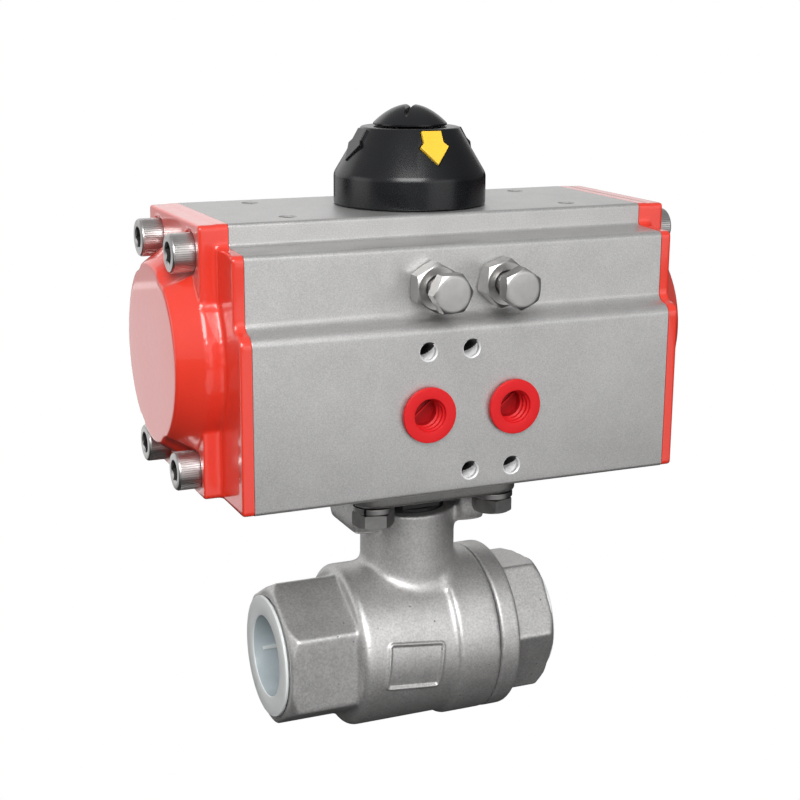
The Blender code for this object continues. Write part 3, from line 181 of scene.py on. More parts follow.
# %% [markdown]
# ## The floor
# The photograph is a product shot on white. So the floor looks white to the camera, while to everything else
# it is a dark matt sheet that throws only a little light up at the object. A Light Path node tells the two
# apart, and a Mix Shader chooses.

# %% Floor
FLOOR_Z = -0.10
SCENE.view_settings.view_transform = "Standard"
floor_mesh = bpy.data.meshes.new("floor")
bm = bmesh.new()
bmesh.ops.create_grid(bm, x_segments=1, y_segments=1, size=11.0)
bmesh.ops.translate(bm, verts=bm.verts, vec=(0, 0, FLOOR_Z))
bm.to_mesh(floor_mesh)
bm.free()
floor = bpy.data.objects.new("floor", floor_mesh)
SCENE.collection.objects.link(floor)
pale = bpy.data.materials.new("pale_floor")
pale.use_nodes = True
tree = pale.node_tree
root = Value(tree)
seen = root.node("LightPath", output="Is Camera Ray")
lit = root.node("Emission", None, {"Color": grey(1.0), "Strength": 1.0})
matt = root.node("BsdfDiffuse", None, {"Color": grey(0.03)})
mixed = root.node("MixShader", None, {0: seen, 1: matt, 2: lit})
tree.links.new(mixed.socket, tree.nodes["Material Output"].inputs["Surface"])
floor_mesh.materials.append(pale)
print("floor at", FLOOR_Z, "m")

# %% [markdown]
# ## The room
# Metal shows what stands around it, so the room is part of the look. It is an even grey that gets darker to
# the right. Low down behind the object it is nearly black, and grazing metal mirrors that as the dark lines
# that set bolts and edges off from the white. The camera itself sees only white.

# %% Room
world = bpy.data.worlds.new("studio")
world.use_nodes = True
SCENE.world = world
root = Value(world.node_tree)
way = root.node("TexCoord", output="Generated")
height = way.axis("Z")
shade = height.between(0.25, 0.85).blend(grey(0.44), grey(0.42))
shade = way.axis("X").between(0.3, 0.9).blend(shade, grey(0.15))
low_behind = way.axis("Y").between(0.3, 0.7) * (1 - height.between(0.03, 0.15))
shade = low_behind.blend(shade, grey(0.03))
shade = root.node("LightPath", output="Is Camera Ray").blend(shade, grey(1.0))
sky = world.node_tree.nodes["Background"]
world.node_tree.links.new(shade.socket, sky.inputs["Color"])
print("room:", len(world.node_tree.nodes), "nodes")

# %% [markdown]
# ## Soft lights
# Wide panels give soft light, and each has its job. The backdrop is what the top, the left cap and all
# grazing edges mirror, so it matters most. The key shapes the front from the upper left, side and fill lift
# what turns away from it, and two cards on the floor light what looks down. The camera sees none of them.

# %% Lights
MIDDLE = (0, 0, 0.07)
CARD_Z = FLOOR_Z + 0.005


def panel(name, place, aim, size, power):
    """A soft rectangular light that points at a spot and that the camera doesn't see."""
    lamp = bpy.data.lights.new(name, "AREA")
    lamp.shape = "RECTANGLE"
    lamp.size, lamp.size_y = size
    lamp.energy = power
    made = bpy.data.objects.new(name, lamp)
    SCENE.collection.objects.link(made)
    made.location = place
    made.rotation_euler = (Vector(aim) - Vector(place)).to_track_quat("-Z", "Y").to_euler()
    made.visible_camera = False


panel("backdrop", (0.05, 1.15, 0.55), (0.05, 0, 0.55), (2.4, 0.8), 3.8)
panel("left_backdrop", (-0.45, 1.13, 0.05), (-0.45, 0, 0.05), (0.8, 0.3), 0.50)
panel("low_card", (-0.40, 0.76, CARD_Z), (-0.40, 0.76, 1.0), (0.8, 0.76), 1.9)
panel("key", (-0.38, -0.92, 0.74), MIDDLE, (0.8, 0.6), 13)
panel("side", (-1.1, 0.25, 0.15), MIDDLE, (0.7, 0.9), 2.2)
panel("fill", (0.55, -1.2, 0.25), MIDDLE, (1.0, 0.7), 2.0)
panel("front_card", (0.08, -0.70, CARD_Z), (0.08, -0.70, 1.0), (1.0, 0.8), 1.8)
print("lights:", [lamp.name for lamp in bpy.data.lights])

# %% [markdown]
# ## Blasted and anodised aluminium
# The body is an extrusion that was blasted with fine beads and then anodised, which gives an even, warm grey
# with a sparkle too small to make out. Two noises, one finer than the other, vary the grey and the gloss, and
# the same fine noise gives the surface its tooth.

# %% Anodised aluminium
place, wire = finish("anodised_aluminium", metallic=0.75)
fine = place.grain(0.34, 2.0, 0.7)
broad = place.grain(9.0, 3.0, 0.6)
tone = fine * 0.8 + broad * 0.2
wire(base_color=tone.between(0.25, 0.75).blend(grey(0.44, 0.008), grey(0.63, 0.012)),
     roughness=0.34 + fine * 0.14, normal=fine.relief(0.012, 0.5))

# %% [markdown]
# ## Drilled aluminium
# Where a tool has cut the anodising away, the metal is brighter and smoother than outside, with fine rings
# left by the drill. Stretched noise makes the rings. Deep in a tapped hole the walls get a near-black finish
# of their own, which is painted shade for the dark inside of the hole.

# %% Drilled aluminium and painted shade
place, wire = finish("drilled_aluminium", metallic=0.35)
rings = place.stretched(1.0, 8.0, 8.0).grain(2.0, 3.0, 0.6)
wire(base_color=rings.blend(grey(0.86), grey(0.96)), roughness=0.40 + rings * 0.12,
     normal=rings.relief(0.02, 0.4))
# Painted shade: a near-black finish for the deep part of holes and sockets and for the gap over the valve's
# neck.
place, wire = finish("oily_depth")
shade_mottle = place.grain(1.2, 2.0, 0.6)
wire(base_color=shade_mottle.blend(grey(0.012), grey(0.035)), roughness=0.40 + shade_mottle * 0.2)

# %% [markdown]
# ## Red powder coat
# The caps are die castings under a thick glossy coat. Such a coat is a coloured layer below a clear one, and
# it dries with a gentle waviness called orange peel. The clear layer mirrors the backdrop, which makes the
# end face and the top look pink.

# %% Red paint
place, wire = finish("red_paint", coat_roughness=0.05)
peel = place.grain(1.6, 1.0, 0.4)
cloud = place.grain(14.0, 3.0, 0.55)
fleck = place.grain(0.5, 1.0, 0.5)
wire(base_color=(cloud * 0.7 + fleck * 0.3).blend((0.72, 0.031, 0.017, 1), (0.82, 0.052, 0.026, 1)),
     roughness=0.26 + cloud * 0.10, coat_weight=0.75 + peel * 0.25, normal=peel.relief(0.02, 0.25))

# %% [markdown]
# ## Steels
# Screws, bolts and nuts are bright zinc-plated or stainless steel, smooth with faint turning marks. The
# bolts under the body get a darker steel, painted shade for the shadow under the actuator. The pinion and
# cam inside are machined steel, the ball and stem are polished. All are metals that differ in their grey,
# their gloss and the size of their marks.


# %% Bright, painted-shade, dark and polished steel
def steel(name, dark, light, gloss, mark_mm, depth_mm):
    place, wire = finish(name, metallic=1.0)
    marks = place.stretched(1.0, 1.0, 2.0).grain(mark_mm, 3.0, 0.65)
    stain = place.grain(3.0, 2.0, 0.5)
    tone = (marks * 0.3 + stain * 0.7).between(0.2, 0.8)
    wire(base_color=tone.blend(grey(dark, 0.012), grey(light, 0.018)),
         roughness=gloss + marks * 0.05 + stain * 0.06, normal=marks.relief(depth_mm, 0.2))


steel("bright_steel", 0.48, 0.58, 0.30, 0.8, 0.001)
# Painted shade: a darker steel for the bolts and washers in the actuator's shadow.
steel("oiled_steel", 0.28, 0.40, 0.34, 0.8, 0.001)
steel("dark_steel", 0.13, 0.24, 0.30, 0.6, 0.01)
steel("polished_stainless", 0.55, 0.68, 0.10, 1.5, 0.002)

# %% [markdown]
# ## Cast stainless
# The valve is an investment casting that was blasted: a soft grey skin with a fine grain, small pits where
# bubbles sat against the mould, and slightly duller clouds. The pits come from cells with a threshold, so
# that only a few of them show. Just under the actuator the skin is painted darker, as painted shade for the
# shadow that the actuator casts there.

# %% Cast stainless
# Heights between which the painted shade under the actuator fades in.
SHADE_UNDER_PAD_FROM, SHADE_UNDER_PAD_TO = 41 * MM, 47 * MM
place, wire = finish("cast_stainless", metallic=0.8)
skin = place.grain(0.6, 3.0, 0.7)
cloud = place.grain(6.0, 3.0, 0.6)
cells = place.node("TexVoronoi", None, {"Vector": place, "Scale": 1 / (3.4 * MM)})
pits = (1 - cells.between(0.05, 0.12)) * cloud.between(0.46, 0.60)
tone = (skin * 0.75 + cloud * 0.25).between(0.3, 0.7).blend(grey(0.475, 0.010), grey(0.69, 0.014))
# Painted shade: the skin darkens towards the pad, where the actuator's shadow falls.
painted_shade_under_pad = place.axis("Z").between(SHADE_UNDER_PAD_FROM, SHADE_UNDER_PAD_TO)
tone = (painted_shade_under_pad * 0.6).blend(tone, grey(0.12, 0.03))
wire(base_color=(pits * 0.7).blend(tone, grey(0.10)), roughness=0.40 + skin * 0.16 + pits * 0.2,
     normal=(skin * 0.6 - pits).relief(0.10, 0.7))

# %% [markdown]
# ## Plastics and rubber
# The indicator is satin black, moulded against a lightly eroded tool. The arrow and the plugs are the same
# kind of moulding in strong colours. The thread protectors are soft milky polyethylene that lets light in.
# Deep inside a plug or protector little light comes back, so those walls get darker colours as painted
# shade. Seats, bushes and seals sit inside: white polymer and black rubber with a bloom.


# %% Moulded pieces
def moulding(name, deep, pale, gloss, **fixed):
    place, wire = finish(name, **fixed)
    skin = place.grain(0.30, 2.0, 0.6)
    flow = place.grain(7.0, 2.0, 0.5)
    wire(base_color=(skin * 0.4 + flow * 0.6).blend(deep, pale), normal=skin.relief(0.012, 0.5),
         roughness=gloss + skin * 0.14 + flow * 0.06)


moulding("black_plastic", (0.003, 0.003, 0.004, 1), (0.007, 0.008, 0.010, 1), 0.17)
moulding("yellow_plastic", (0.86, 0.50, 0.020, 1), (0.95, 0.62, 0.055, 1), 0.36)
moulding("red_plastic", (0.64, 0.010, 0.013, 1), (0.72, 0.017, 0.021, 1), 0.36, specular_ior_level=0.25)
# Painted shade: a darker red for the bottom of a plug's hole.
moulding("red_depth", (0.36, 0.005, 0.008, 1), (0.48, 0.009, 0.012, 1), 0.34, specular_ior_level=0.25)
moulding("milky_plastic", (0.82, 0.85, 0.85, 1), (0.90, 0.92, 0.91, 1), 0.24, subsurface_weight=0.25,
         subsurface_scale=0.002, subsurface_radius=(1.0, 1.0, 1.0), transmission_weight=0.10)
# Painted shade: a darker milky grey for the inner wall of a protector.
moulding("milky_wall", (0.30, 0.36, 0.39, 1), (0.60, 0.66, 0.68, 1), 0.14)
moulding("white_polymer", (0.70, 0.69, 0.64, 1), (0.84, 0.83, 0.79, 1), 0.40)
moulding("black_rubber", (0.010, 0.010, 0.011, 1), (0.030, 0.030, 0.031, 1), 0.55)

# %% [markdown]
# ## Basic shapes
# Sizes below are in millimetres, and each mesh is scaled to metres when it becomes a piece. Round things are
# a profile that is spun, straight things an outline that is pulled up. Both start from a few vertices and
# leave the rest to one operator. They point along +Z until they are aimed.


# %% Round and straight shapes
def spun(profile, steps=64):
    """Spin (radius, height) points about Z; a profile that leaves the axis makes a ring."""
    bm = bmesh.new()
    verts = [bm.verts.new((radius, 0, height)) for radius, height in profile]
    ring = min(radius for radius, _ in profile) > 0
    edges = [bm.edges.new(pair) for pair in zip(verts, verts[1:] + verts[:1] if ring else verts[1:])]
    bmesh.ops.spin(bm, geom=verts + edges, cent=(0, 0, 0), axis=(0, 0, 1), angle=2 * pi, steps=steps,
                   use_merge=True)
    bmesh.ops.remove_doubles(bm, verts=bm.verts, dist=1e-4)
    bmesh.ops.recalc_face_normals(bm, faces=bm.faces)
    return bm


def rod(radius, low, high, steps=64):
    """A plain cylinder on Z from one height to another."""
    return spun([(0, low), (radius, low), (radius, high), (0, high)], steps)


def pulled(corners, height):
    """A flat outline of (x, y, radius) corners, rounded and pulled up by a height."""
    bm = bmesh.new()
    verts = [bm.verts.new((x, y, 0)) for x, y, _ in corners]
    bm.faces.new(verts)
    for vert, (_, _, radius) in zip(verts, corners):
        if radius:
            one, two = [edge.other_vert(vert).co - vert.co for edge in vert.link_edges]
            bmesh.ops.bevel(bm, geom=[vert], offset=radius / tan(one.angle(two) / 2), affect="VERTICES",
                            segments=6, profile=0.5, material=-1)
    top = bmesh.ops.extrude_face_region(bm, geom=bm.faces[:])["geom"]
    bmesh.ops.translate(bm, verts=[item for item in top if isinstance(item, bmesh.types.BMVert)],
                        vec=(0, 0, height))
    bmesh.ops.recalc_face_normals(bm, faces=bm.faces)
    return bm


def rectangle(x0, x1, y0, y1, radius=0.0):
    return [(x0, y0, radius), (x1, y0, radius), (x1, y1, radius), (x0, y1, radius)]


def hexagon(across, height, first=0.0, round_off=0.0):
    """A hexagon prism by its size across the flats and the angle of its first corner."""
    reach = across / sqrt(3)
    angles = [first + pi / 3 * side for side in range(6)]
    return pulled([(reach * cos(angle), reach * sin(angle), round_off) for angle in angles], height)


# %% [markdown]
# ## Edges, places and face marks
# No made thing has a perfectly sharp edge, and a bevel of a tenth of a millimetre is enough to catch the
# light. Edges are chosen by their angle and, where needed, by where they lie. A face carries the number of
# its finish in the mesh's list, so marking faces is how one piece gets two finishes.


# %% Bevels, places and marks
def soften(bm, offset, segments=3, least=radians(25), where=None):
    """Bevel the edges that are sharper than an angle, all of them or those that pass a test."""
    sharp = [edge for edge in bm.edges if edge.is_manifold and edge.calc_face_angle() > least]
    if where:
        sharp = [edge for edge in sharp if where((edge.verts[0].co + edge.verts[1].co) / 2)]
    bmesh.ops.bevel(bm, geom=sharp, offset=offset, affect="EDGES", segments=segments, profile=0.5,
                    material=-1, clamp_overlap=True)
    return bm


def placed(bm, matrix):
    bmesh.ops.transform(bm, matrix=matrix, verts=bm.verts)
    return bm


def moved(bm, x, y, z):
    return placed(bm, Matrix.Translation((x, y, z)))


def along(way, centre=(0, 0, 0)):
    """The matrix that aims +Z along an axis of the frame and moves it to a centre."""
    axis, angle = {"+X": ("Y", 90), "-X": ("Y", -90), "+Y": ("X", -90), "-Y": ("X", 90),
                   "+Z": ("X", 0), "-Z": ("X", 180)}[way]
    return Matrix.Translation(centre) @ Matrix.Rotation(radians(angle), 4, axis)


def marked(bm, finish_number, below=None, within=None):
    """Give all faces another finish, or those of a hollow that opens upwards."""
    for face in bm.faces:
        middle = face.calc_center_median()
        near_axis = within is None or hypot(middle.x, middle.y) < within
        if below is None or (middle.z < below and near_axis and face.normal.z > -0.5):
            face.material_index = finish_number
    return bm


# %% [markdown]
# ## Joining and cutting
# Solids are joined, cut and trimmed with a Boolean modifier that is applied at once, so that every piece ends
# up as one plain mesh. The exact solver is slower, but it copes with faces that lie on each other. Empty
# material slots keep the faces' finish numbers through it.


# %% Booleans
def working(bm):
    mesh = bpy.data.meshes.new("working")
    bm.to_mesh(mesh)
    bm.free()
    for _ in range(3):
        mesh.materials.append(None)
    made = bpy.data.objects.new("working", mesh)
    SCENE.collection.objects.link(made)
    return made


def applied(*objects):
    """The first object's mesh with its modifiers; all of them are removed."""
    bm = bmesh.new()
    bm.from_mesh(objects[0].evaluated_get(bpy.context.evaluated_depsgraph_get()).to_mesh())
    for mesh in [item.data for item in objects]:
        bpy.data.meshes.remove(mesh)
    return bm


def combined(operation, bm, *tools):
    """Join, cut or trim a solid with others."""
    for tool in tools:
        target, other = working(bm), working(tool)
        change = target.modifiers.new("change", "BOOLEAN")
        change.operation, change.solver, change.object = operation, "EXACT", other
        bm = applied(target, other)
        bmesh.ops.remove_doubles(bm, verts=bm.verts, dist=1e-3)
    return bm


def together(shapes):
    """Several meshes in one, not joined."""
    bm = bmesh.new()
    for shape in shapes:
        mesh = bpy.data.meshes.new("part")
        shape.to_mesh(mesh)
        shape.free()
        bm.from_mesh(mesh)
        bpy.data.meshes.remove(mesh)
    return bm


# %% [markdown]
# ## Casting
# A casting has no sharp corner inside or out. Beveling every seam of a joined solid is hard work and often
# fails, so a casting is remeshed into small even faces and its vertices are rubbed: each round moves them
# towards their neighbours, and the more rounds, the wider the fillet.


# %% Remeshing and rubbing
def rub(bm, rounds, zone=None):
    """Smooth the vertices in a zone, or all of them."""
    verts = [vert for vert in bm.verts if zone is None or zone(vert.co)]
    for _ in range(rounds):
        bmesh.ops.smooth_vert(bm, verts=verts, factor=0.5, use_axis_x=True, use_axis_y=True, use_axis_z=True)
    print("rubbed", len(verts), "vertices", rounds, "times")


def cast(bm, voxel, rounds):
    """Even small faces all over, then edges rubbed round, as a mould leaves them."""
    target = working(bm)
    change = target.modifiers.new("even", "REMESH")
    change.mode, change.voxel_size = "VOXEL", voxel
    bm = applied(target)
    rub(bm, rounds)
    return bm


# %% [markdown]
# ## Pieces and their nodes
# A finished piece stands for one node of the CAD model: it takes that node's place, moves with its body and
# keeps its finish. The record that came with the frame says which body and which finish, and the node's box
# says where the piece goes, so the places are measured and not typed in again.

# %% Pieces
BODIES = frame["record"]["behaviour"]["bodies"]
BODY_OF = {node: body for body, nodes in BODIES.items() for node in nodes}
SLOT_OF = {part["node"]: part["material_slot"] for part in frame["record"]["subparts"]}
MADE = set()


def box_mm(node):
    low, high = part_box(node)
    return low / MM, high / MM


def centre_mm(node):
    low, high = box_mm(node)
    return (low + high) / 2


def nodes_called(start):
    return sorted(name for name in SLOT_OF if name.startswith(start))


def piece(bm, node, *finishes, sharp=20, outside=None):
    """A finished piece that stands for a CAD node, with the node's body and finish."""
    placed(bm, Matrix.Scale(MM, 4))
    mesh = bpy.data.meshes.new("made_" + node)
    bm.to_mesh(mesh)
    bm.free()
    for name in (outside or SLOT_OF[node], *finishes):
        mesh.materials.append(FINISH[name])
    mesh.shade_smooth()
    mesh.set_sharp_from_angle(angle=radians(sharp))
    made = bpy.data.objects.new("made_" + node, mesh)
    SCENE.collection.objects.link(made)
    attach(made, BODY_OF[node])
    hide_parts(node)
    MADE.add(node)
    print("piece", node, len(mesh.polygons), "faces")


# %% [markdown]
# ## The actuator body
# The body is sawn from an extrusion, so its outline is the same all along: two almost level ledges in front,
# one at the back. Drawing that outline once and pulling it along X is how the real one is made too. Its
# corners are rounded before it is pulled, and the sawn ends get a very small chamfer.

# %% Outline of the extrusion
BODY_LOW, BODY_HIGH = box_mm("actuator_body")
BORE_Z = centre_mm("guide_band_left").z
FRONT, BACK = BODY_LOW.y, BODY_HIGH.y
BASE, TOP = BODY_LOW.z, BODY_HIGH.z
BODY_END = BODY_HIGH.x
MID_FRONT = box_mm("stop_nut_left")[1].y + 0.3
TOP_HALF, STEP_IN, STEP_OUT = 22.8, TOP - 5.8, TOP - 6.2
LEDGE, RISE, LEDGE_INNER, LEDGE_OUTER = 44.2, 1.0, 2.4, 2.8
OUTLINE = [
    (FRONT, BASE, 1.0), (BACK, BASE, 1.0), (BACK, STEP_OUT, 1.4), (TOP_HALF, STEP_IN, 1.0),
    (TOP_HALF, TOP, 1.0), (-TOP_HALF, TOP, 1.0), (-TOP_HALF, STEP_IN, 1.0), (MID_FRONT, STEP_OUT, 1.4),
    (MID_FRONT, BASE + LEDGE + RISE, LEDGE_INNER), (FRONT, BASE + LEDGE, LEDGE_OUTER),
]
ALONG_X = Matrix(((0, 0, 1, 0), (1, 0, 0, 0), (0, 1, 0, 0), (0, 0, 0, 1)))


def section(corners, start, end):
    """An outline in Y and Z, pulled from one X to another."""
    return placed(pulled(corners, end - start), Matrix.Translation((start, 0, 0)) @ ALONG_X)


body = section(OUTLINE, -BODY_END, BODY_END)
soften(body, 0.12, 2, where=lambda middle: abs(middle.x) > BODY_END - 0.01)
print("outline", round(BACK - FRONT, 1), "x", round(TOP - BASE, 1), "mm, bore axis at", round(BORE_Z, 1))
print("ledge", round(MID_FRONT - FRONT, 2), "mm deep")

# %% [markdown]
# ## A cutter for holes
# A drill leaves a cone at the bottom, a tap leaves rings, and a countersink opens the mouth. One spun profile
# has all three, pointing up out of the hole. Deep in a tapped hole the walls get painted shade: a plane splits
# the cutter's faces, so that the dark finish ends in a clean line. In the front holes that plane leans, like
# the edge of a shadow cast from above.

# %% A drilled hole
SKIN, CUT, DEEP = 0, 1, 2
PAINTED_SHADE_DEPTH, PAINTED_SHADE_LEAN = 3.2, 1.6


def drilled(radius, depth, way, centre, mouth=0.4, pitch=0.0, steps=32, wall=CUT):
    """A cutter for a hole whose mouth is at a centre, open along a way; a pitch gives it thread rings."""
    profile = [(0, -depth - 0.6 * radius), (radius, -depth)]
    if pitch:
        for ring in range(int((depth - 2 * pitch) / pitch)):
            low = -depth + (ring + 0.5) * pitch
            profile += [(radius, low), (radius + 0.3 * pitch, low + pitch / 2)]
    profile += [(radius, -mouth - 0.05), (radius + mouth, 0), (radius + mouth, 1), (0, 1)]
    bm = spun(profile, steps)
    # Faces past this plane in a tapped hole get the near-black painted shade; in front holes the plane leans
    # like a shadow's edge.
    lean = PAINTED_SHADE_LEAN if way == "-Y" else 0.0
    bmesh.ops.bisect_plane(bm, geom=[*bm.verts, *bm.edges, *bm.faces], plane_co=(0, 0, -PAINTED_SHADE_DEPTH),
                           plane_no=(0, lean, -1))
    for face in bm.faces:
        middle = face.calc_center_median()
        face.material_index = DEEP if pitch and lean * middle.y - middle.z > PAINTED_SHADE_DEPTH else wall
    return placed(bm, along(way, centre))


# %% [markdown]
# ## Every hole of the body
# The cylinder goes right through. In front are the two air ports with four tapped holes round them, and the
# ways of the stop bolts above. Four tapped holes on the top take accessories; they were made before the body
# was anodised, so they keep its grey. Screw holes at the ends and below, and the ways of the shaft, are plain.

# %% Holes
SIGNS = (-1, 1)
PORT_X = [centre_mm("port_plug_" + side).x for side in ("left", "right")]
PORT_Z = centre_mm("port_plug_left").z
STOP_X, STOP_Z = 9.5, centre_mm("stop_nut_left").z
PAD_BOLT = 25 * sqrt(0.5)
SCREW_Y, SCREW_RISE = 14.55, 27.83
SCREW_PLACES = [(y * SCREW_Y, BORE_Z + z * SCREW_RISE) for y in SIGNS for z in SIGNS]
PAD_PLACES = [(x * PAD_BOLT, y * PAD_BOLT) for x in SIGNS for y in SIGNS]
bore = marked(placed(rod(26, -60, 60, 96), along("+X", (0, 0, BORE_Z))), CUT)
holes = [drilled(6.5, 7.5, "-Y", (x, FRONT, PORT_Z), 0.5, steps=48) for x in PORT_X]
for x, z in ((-12, 16), (0, 16), (0, -16), (12, -16)):
    holes.append(drilled(2.2, 9.0, "-Y", (x, FRONT, PORT_Z + z), 0.35, 0.8, 40))
holes += [drilled(3.3, -MID_FRONT - 20, "-Y", (side * STOP_X, MID_FRONT, STOP_Z), 0.0) for side in SIGNS]
for x, y in ((-40, -15), (-40, 15), (40, -15), (40, 15)):
    holes.append(drilled(2.1, 8.0, "+Z", (x, y, TOP), 0.35, 0.8, wall=SKIN))
holes += [drilled(3.3, 11.0, "-Z", (x, y, BASE), 0.3) for x, y in PAD_PLACES]
for end, way in ((-BODY_END, "-X"), (BODY_END, "+X")):
    holes += [drilled(3.3, 13.0, way, (end, y, z), 0.3) for y, z in SCREW_PLACES]
shaft_ways = [drilled(10.3, 12.0, "+Z", (0, 0, TOP), 0.3, steps=64),
              drilled(13.8, 12.0, "-Z", (0, 0, BASE), 0.3, steps=64)]
body = combined("DIFFERENCE", body, bore, together(holes), *shaft_ways)
piece(body, "actuator_body", "drilled_aluminium", "oily_depth")

# %% [markdown]
# ## The end caps
# Each cap is one die casting: a flange with the outline of the body, a block that carries the four screws,
# and a round drum that ends in a flat dome, with a scooped pocket for every screw. Thick paint rounds it even
# more, so the sharp solid is cast and rubbed. Then the joint face is milled flat, as on the real cap, so that
# it meets the body in a fine seam. The left cap is the mirror of the right one.

# %% One cap, made twice
JOINT, FLANGE, BLOCK, DOME = BODY_END + 0.1, BODY_END + 3.0, BODY_END + 7.6, BODY_END + 14.4
SPIGOT, DRUM, DOME_EDGE = 25.7, 27.9, 23.2
SEAT = BLOCK - 0.8
AXIS_X = along("+X", (0, 0, BORE_Z))


def end_cap():
    block = rectangle(-TOP_HALF, TOP_HALF, BASE + 0.15, TOP - 0.15, 1.0)
    drum = spun([
        (0, 54.6), (SPIGOT, 54.6), (SPIGOT, 55.5), (23.3, 55.5), (23.3, 57.9), (SPIGOT, 57.9),
        (SPIGOT, JOINT + 0.5), (DRUM, JOINT + 0.5), (DRUM, BLOCK), (DOME_EDGE, DOME), (0, DOME),
    ], 96)
    cap = combined("UNION", section(OUTLINE, JOINT - 1.0, FLANGE), section(block, JOINT + 1.7, BLOCK),
                   placed(drum, AXIS_X))
    cuts = [placed(rod(20.5, 54.0, DOME - 2.8), AXIS_X)]
    scoop = [(0, SEAT), (5.6, SEAT), (5.6, BLOCK), (9.0, DOME + 0.3), (9.0, DOME + 1), (0, DOME + 1)]
    for y, z in SCREW_PLACES:
        cuts.append(placed(spun(scoop, 40), along("+X", (0, y, z))))
        cuts.append(placed(rod(3.3, 57, SEAT + 0.5, 24), along("+X", (0, y, z))))
    cap = cast(combined("DIFFERENCE", cap, *cuts), 0.42, 5)
    mill = [(25.85, JOINT - 3), (60, JOINT - 3), (60, JOINT), (25.85, JOINT)]
    return combined("DIFFERENCE", cap, placed(spun(mill, 96), AXIS_X))


cap = end_cap()
mirror = placed(cap.copy(), Matrix.Scale(-1, 4, (1, 0, 0)))
bmesh.ops.reverse_faces(mirror, faces=mirror.faces)
piece(cap, "end_cap_right", sharp=60)
piece(mirror, "end_cap_left", sharp=60)

# %% [markdown]
# ## Cap screws
# Socket-head screws are turned: a round head with a beveled rim, and a hexagon socket with a chamfered mouth.
# Insetting the faces of the head inwards makes its knurl. One screw is made pointing up and copied to its
# eight places, each with its socket turned a little differently, because no fitter lines them up.

# %% Socket-head screws
HEAD_HIGH, HEAD_RADIUS = 6, 4.85


def socket_screw():
    screw = spun([(0, -19), (2.5, -19), (3, -18.5), (3, 0), (HEAD_RADIUS, 0), (HEAD_RADIUS, HEAD_HIGH),
                  (0, HEAD_HIGH)], 56)
    soften(screw, 0.55, 3, where=lambda middle: middle.z > 5)
    soften(screw, 0.15, 2, where=lambda middle: abs(middle.z) < 0.1 and hypot(middle.x, middle.y) > 4)
    grip = [face for face in screw.faces if 1 < face.calc_center_median().z < 5 and abs(face.normal.z) < 0.1]
    bmesh.ops.inset_individual(screw, faces=grip, thickness=0.07, depth=0.12)
    mouth = spun([(0, 5.2), (2.3, 5.35), (3.1, 6.1), (3.1, 6.4), (0, 6.4)], 48)
    # The socket's walls take finish 1, the near-black painted shade for the inside of the socket.
    socket = marked(moved(hexagon(5.0, 4.0), 0, 0, 3), 1)
    return combined("DIFFERENCE", screw, mouth, socket)


screw = socket_screw()
for number, node in enumerate(nodes_called("cap_screw_")):
    low, high = box_mm(node)
    middle = (low + high) / 2
    way, seat = ("-X", low.x + HEAD_HIGH) if "_left_" in node else ("+X", high.x - HEAD_HIGH)
    copy = placed(screw.copy(), Matrix.Rotation(0.57 + 0.37 * number, 4, "Z"))
    piece(placed(copy, along(way, (seat, middle.y, middle.z))), node, "oily_depth")
screw.free()

# %% [markdown]
# ## Stop bolts and lock nuts
# The two bolts on the front limit the travel. A forged hexagon gets a turned chamfer, which leaves the arcs
# seen on every bolt head: here a hexagon is trimmed by a spun shape. The shank is plain under the head and
# has thread rings where the nut runs. Each head and nut stopped at an angle of its own.

# %% Hexagon bolts and nuts
BOLT_HEAD, STOP_HEAD = 4, 9.4
HEAD_TURNED = [(0, 0), (5.5, 0), (6, 0.3), (6, 3.1), (5.5, 3.5), (5, 3.8), (4.5, 3.95), (4, 4), (0, 4)]


def bolt(length, plain, first, across=10.0):
    """A hexagon bolt with the underside of its head at height 0."""
    turned = [(radius * across / 10, height) for radius, height in HEAD_TURNED]
    head = combined("INTERSECT", hexagon(across, BOLT_HEAD, first), spun(turned, 64))
    thread = [(0, -length), (2.3, -length)]
    for ring in range(int(length - plain)):
        low = -length + 0.4 + ring
        thread += [(2.6, low), (3.0, low + 0.5)]
    shank = spun(thread + [(2.6, -plain), (3.0, -plain + 0.3), (3.0, 0.5), (0, 0.5)], 32)
    return combined("UNION", head, shank)


def nut(first):
    turned = spun([(0, 0), (5.4, 0), (6.6, 0.7), (6.6, 4.3), (5.4, 5), (0, 5)], 64)
    thick = combined("INTERSECT", hexagon(11.2, 5, first), turned)
    hole = spun([(0, -1), (3.6, -1), (3.6, 0), (3.15, 0.5), (3.15, 4.5), (3.6, 5), (3.6, 6), (0, 6)], 40)
    return combined("DIFFERENCE", thick, hole)


for side, nut_turn, head_turn in (("left", 0, 27), ("right", 12, 4)):
    low, high = box_mm("stop_bolt_" + side)
    x = (low.x + high.x) / 2
    made = bolt(high.y - low.y - BOLT_HEAD, 6.0, pi / 2 - radians(head_turn), STOP_HEAD)
    piece(placed(made, along("-Y", (x, low.y + BOLT_HEAD, STOP_Z))), "stop_bolt_" + side)
    back = box_mm("stop_nut_" + side)[1].y
    piece(placed(nut(pi / 2 - radians(nut_turn)), along("-Y", (x, back, STOP_Z))), "stop_nut_" + side)

# %% [markdown]
# ## Pad bolts and spring washers
# Four more bolts hold the valve to the actuator from below, each on a spring washer. A spring washer is a
# split ring whose ends stand apart, so the ring is cut open at one place. Both get the darker steel, painted
# shade for the shadow under the actuator.

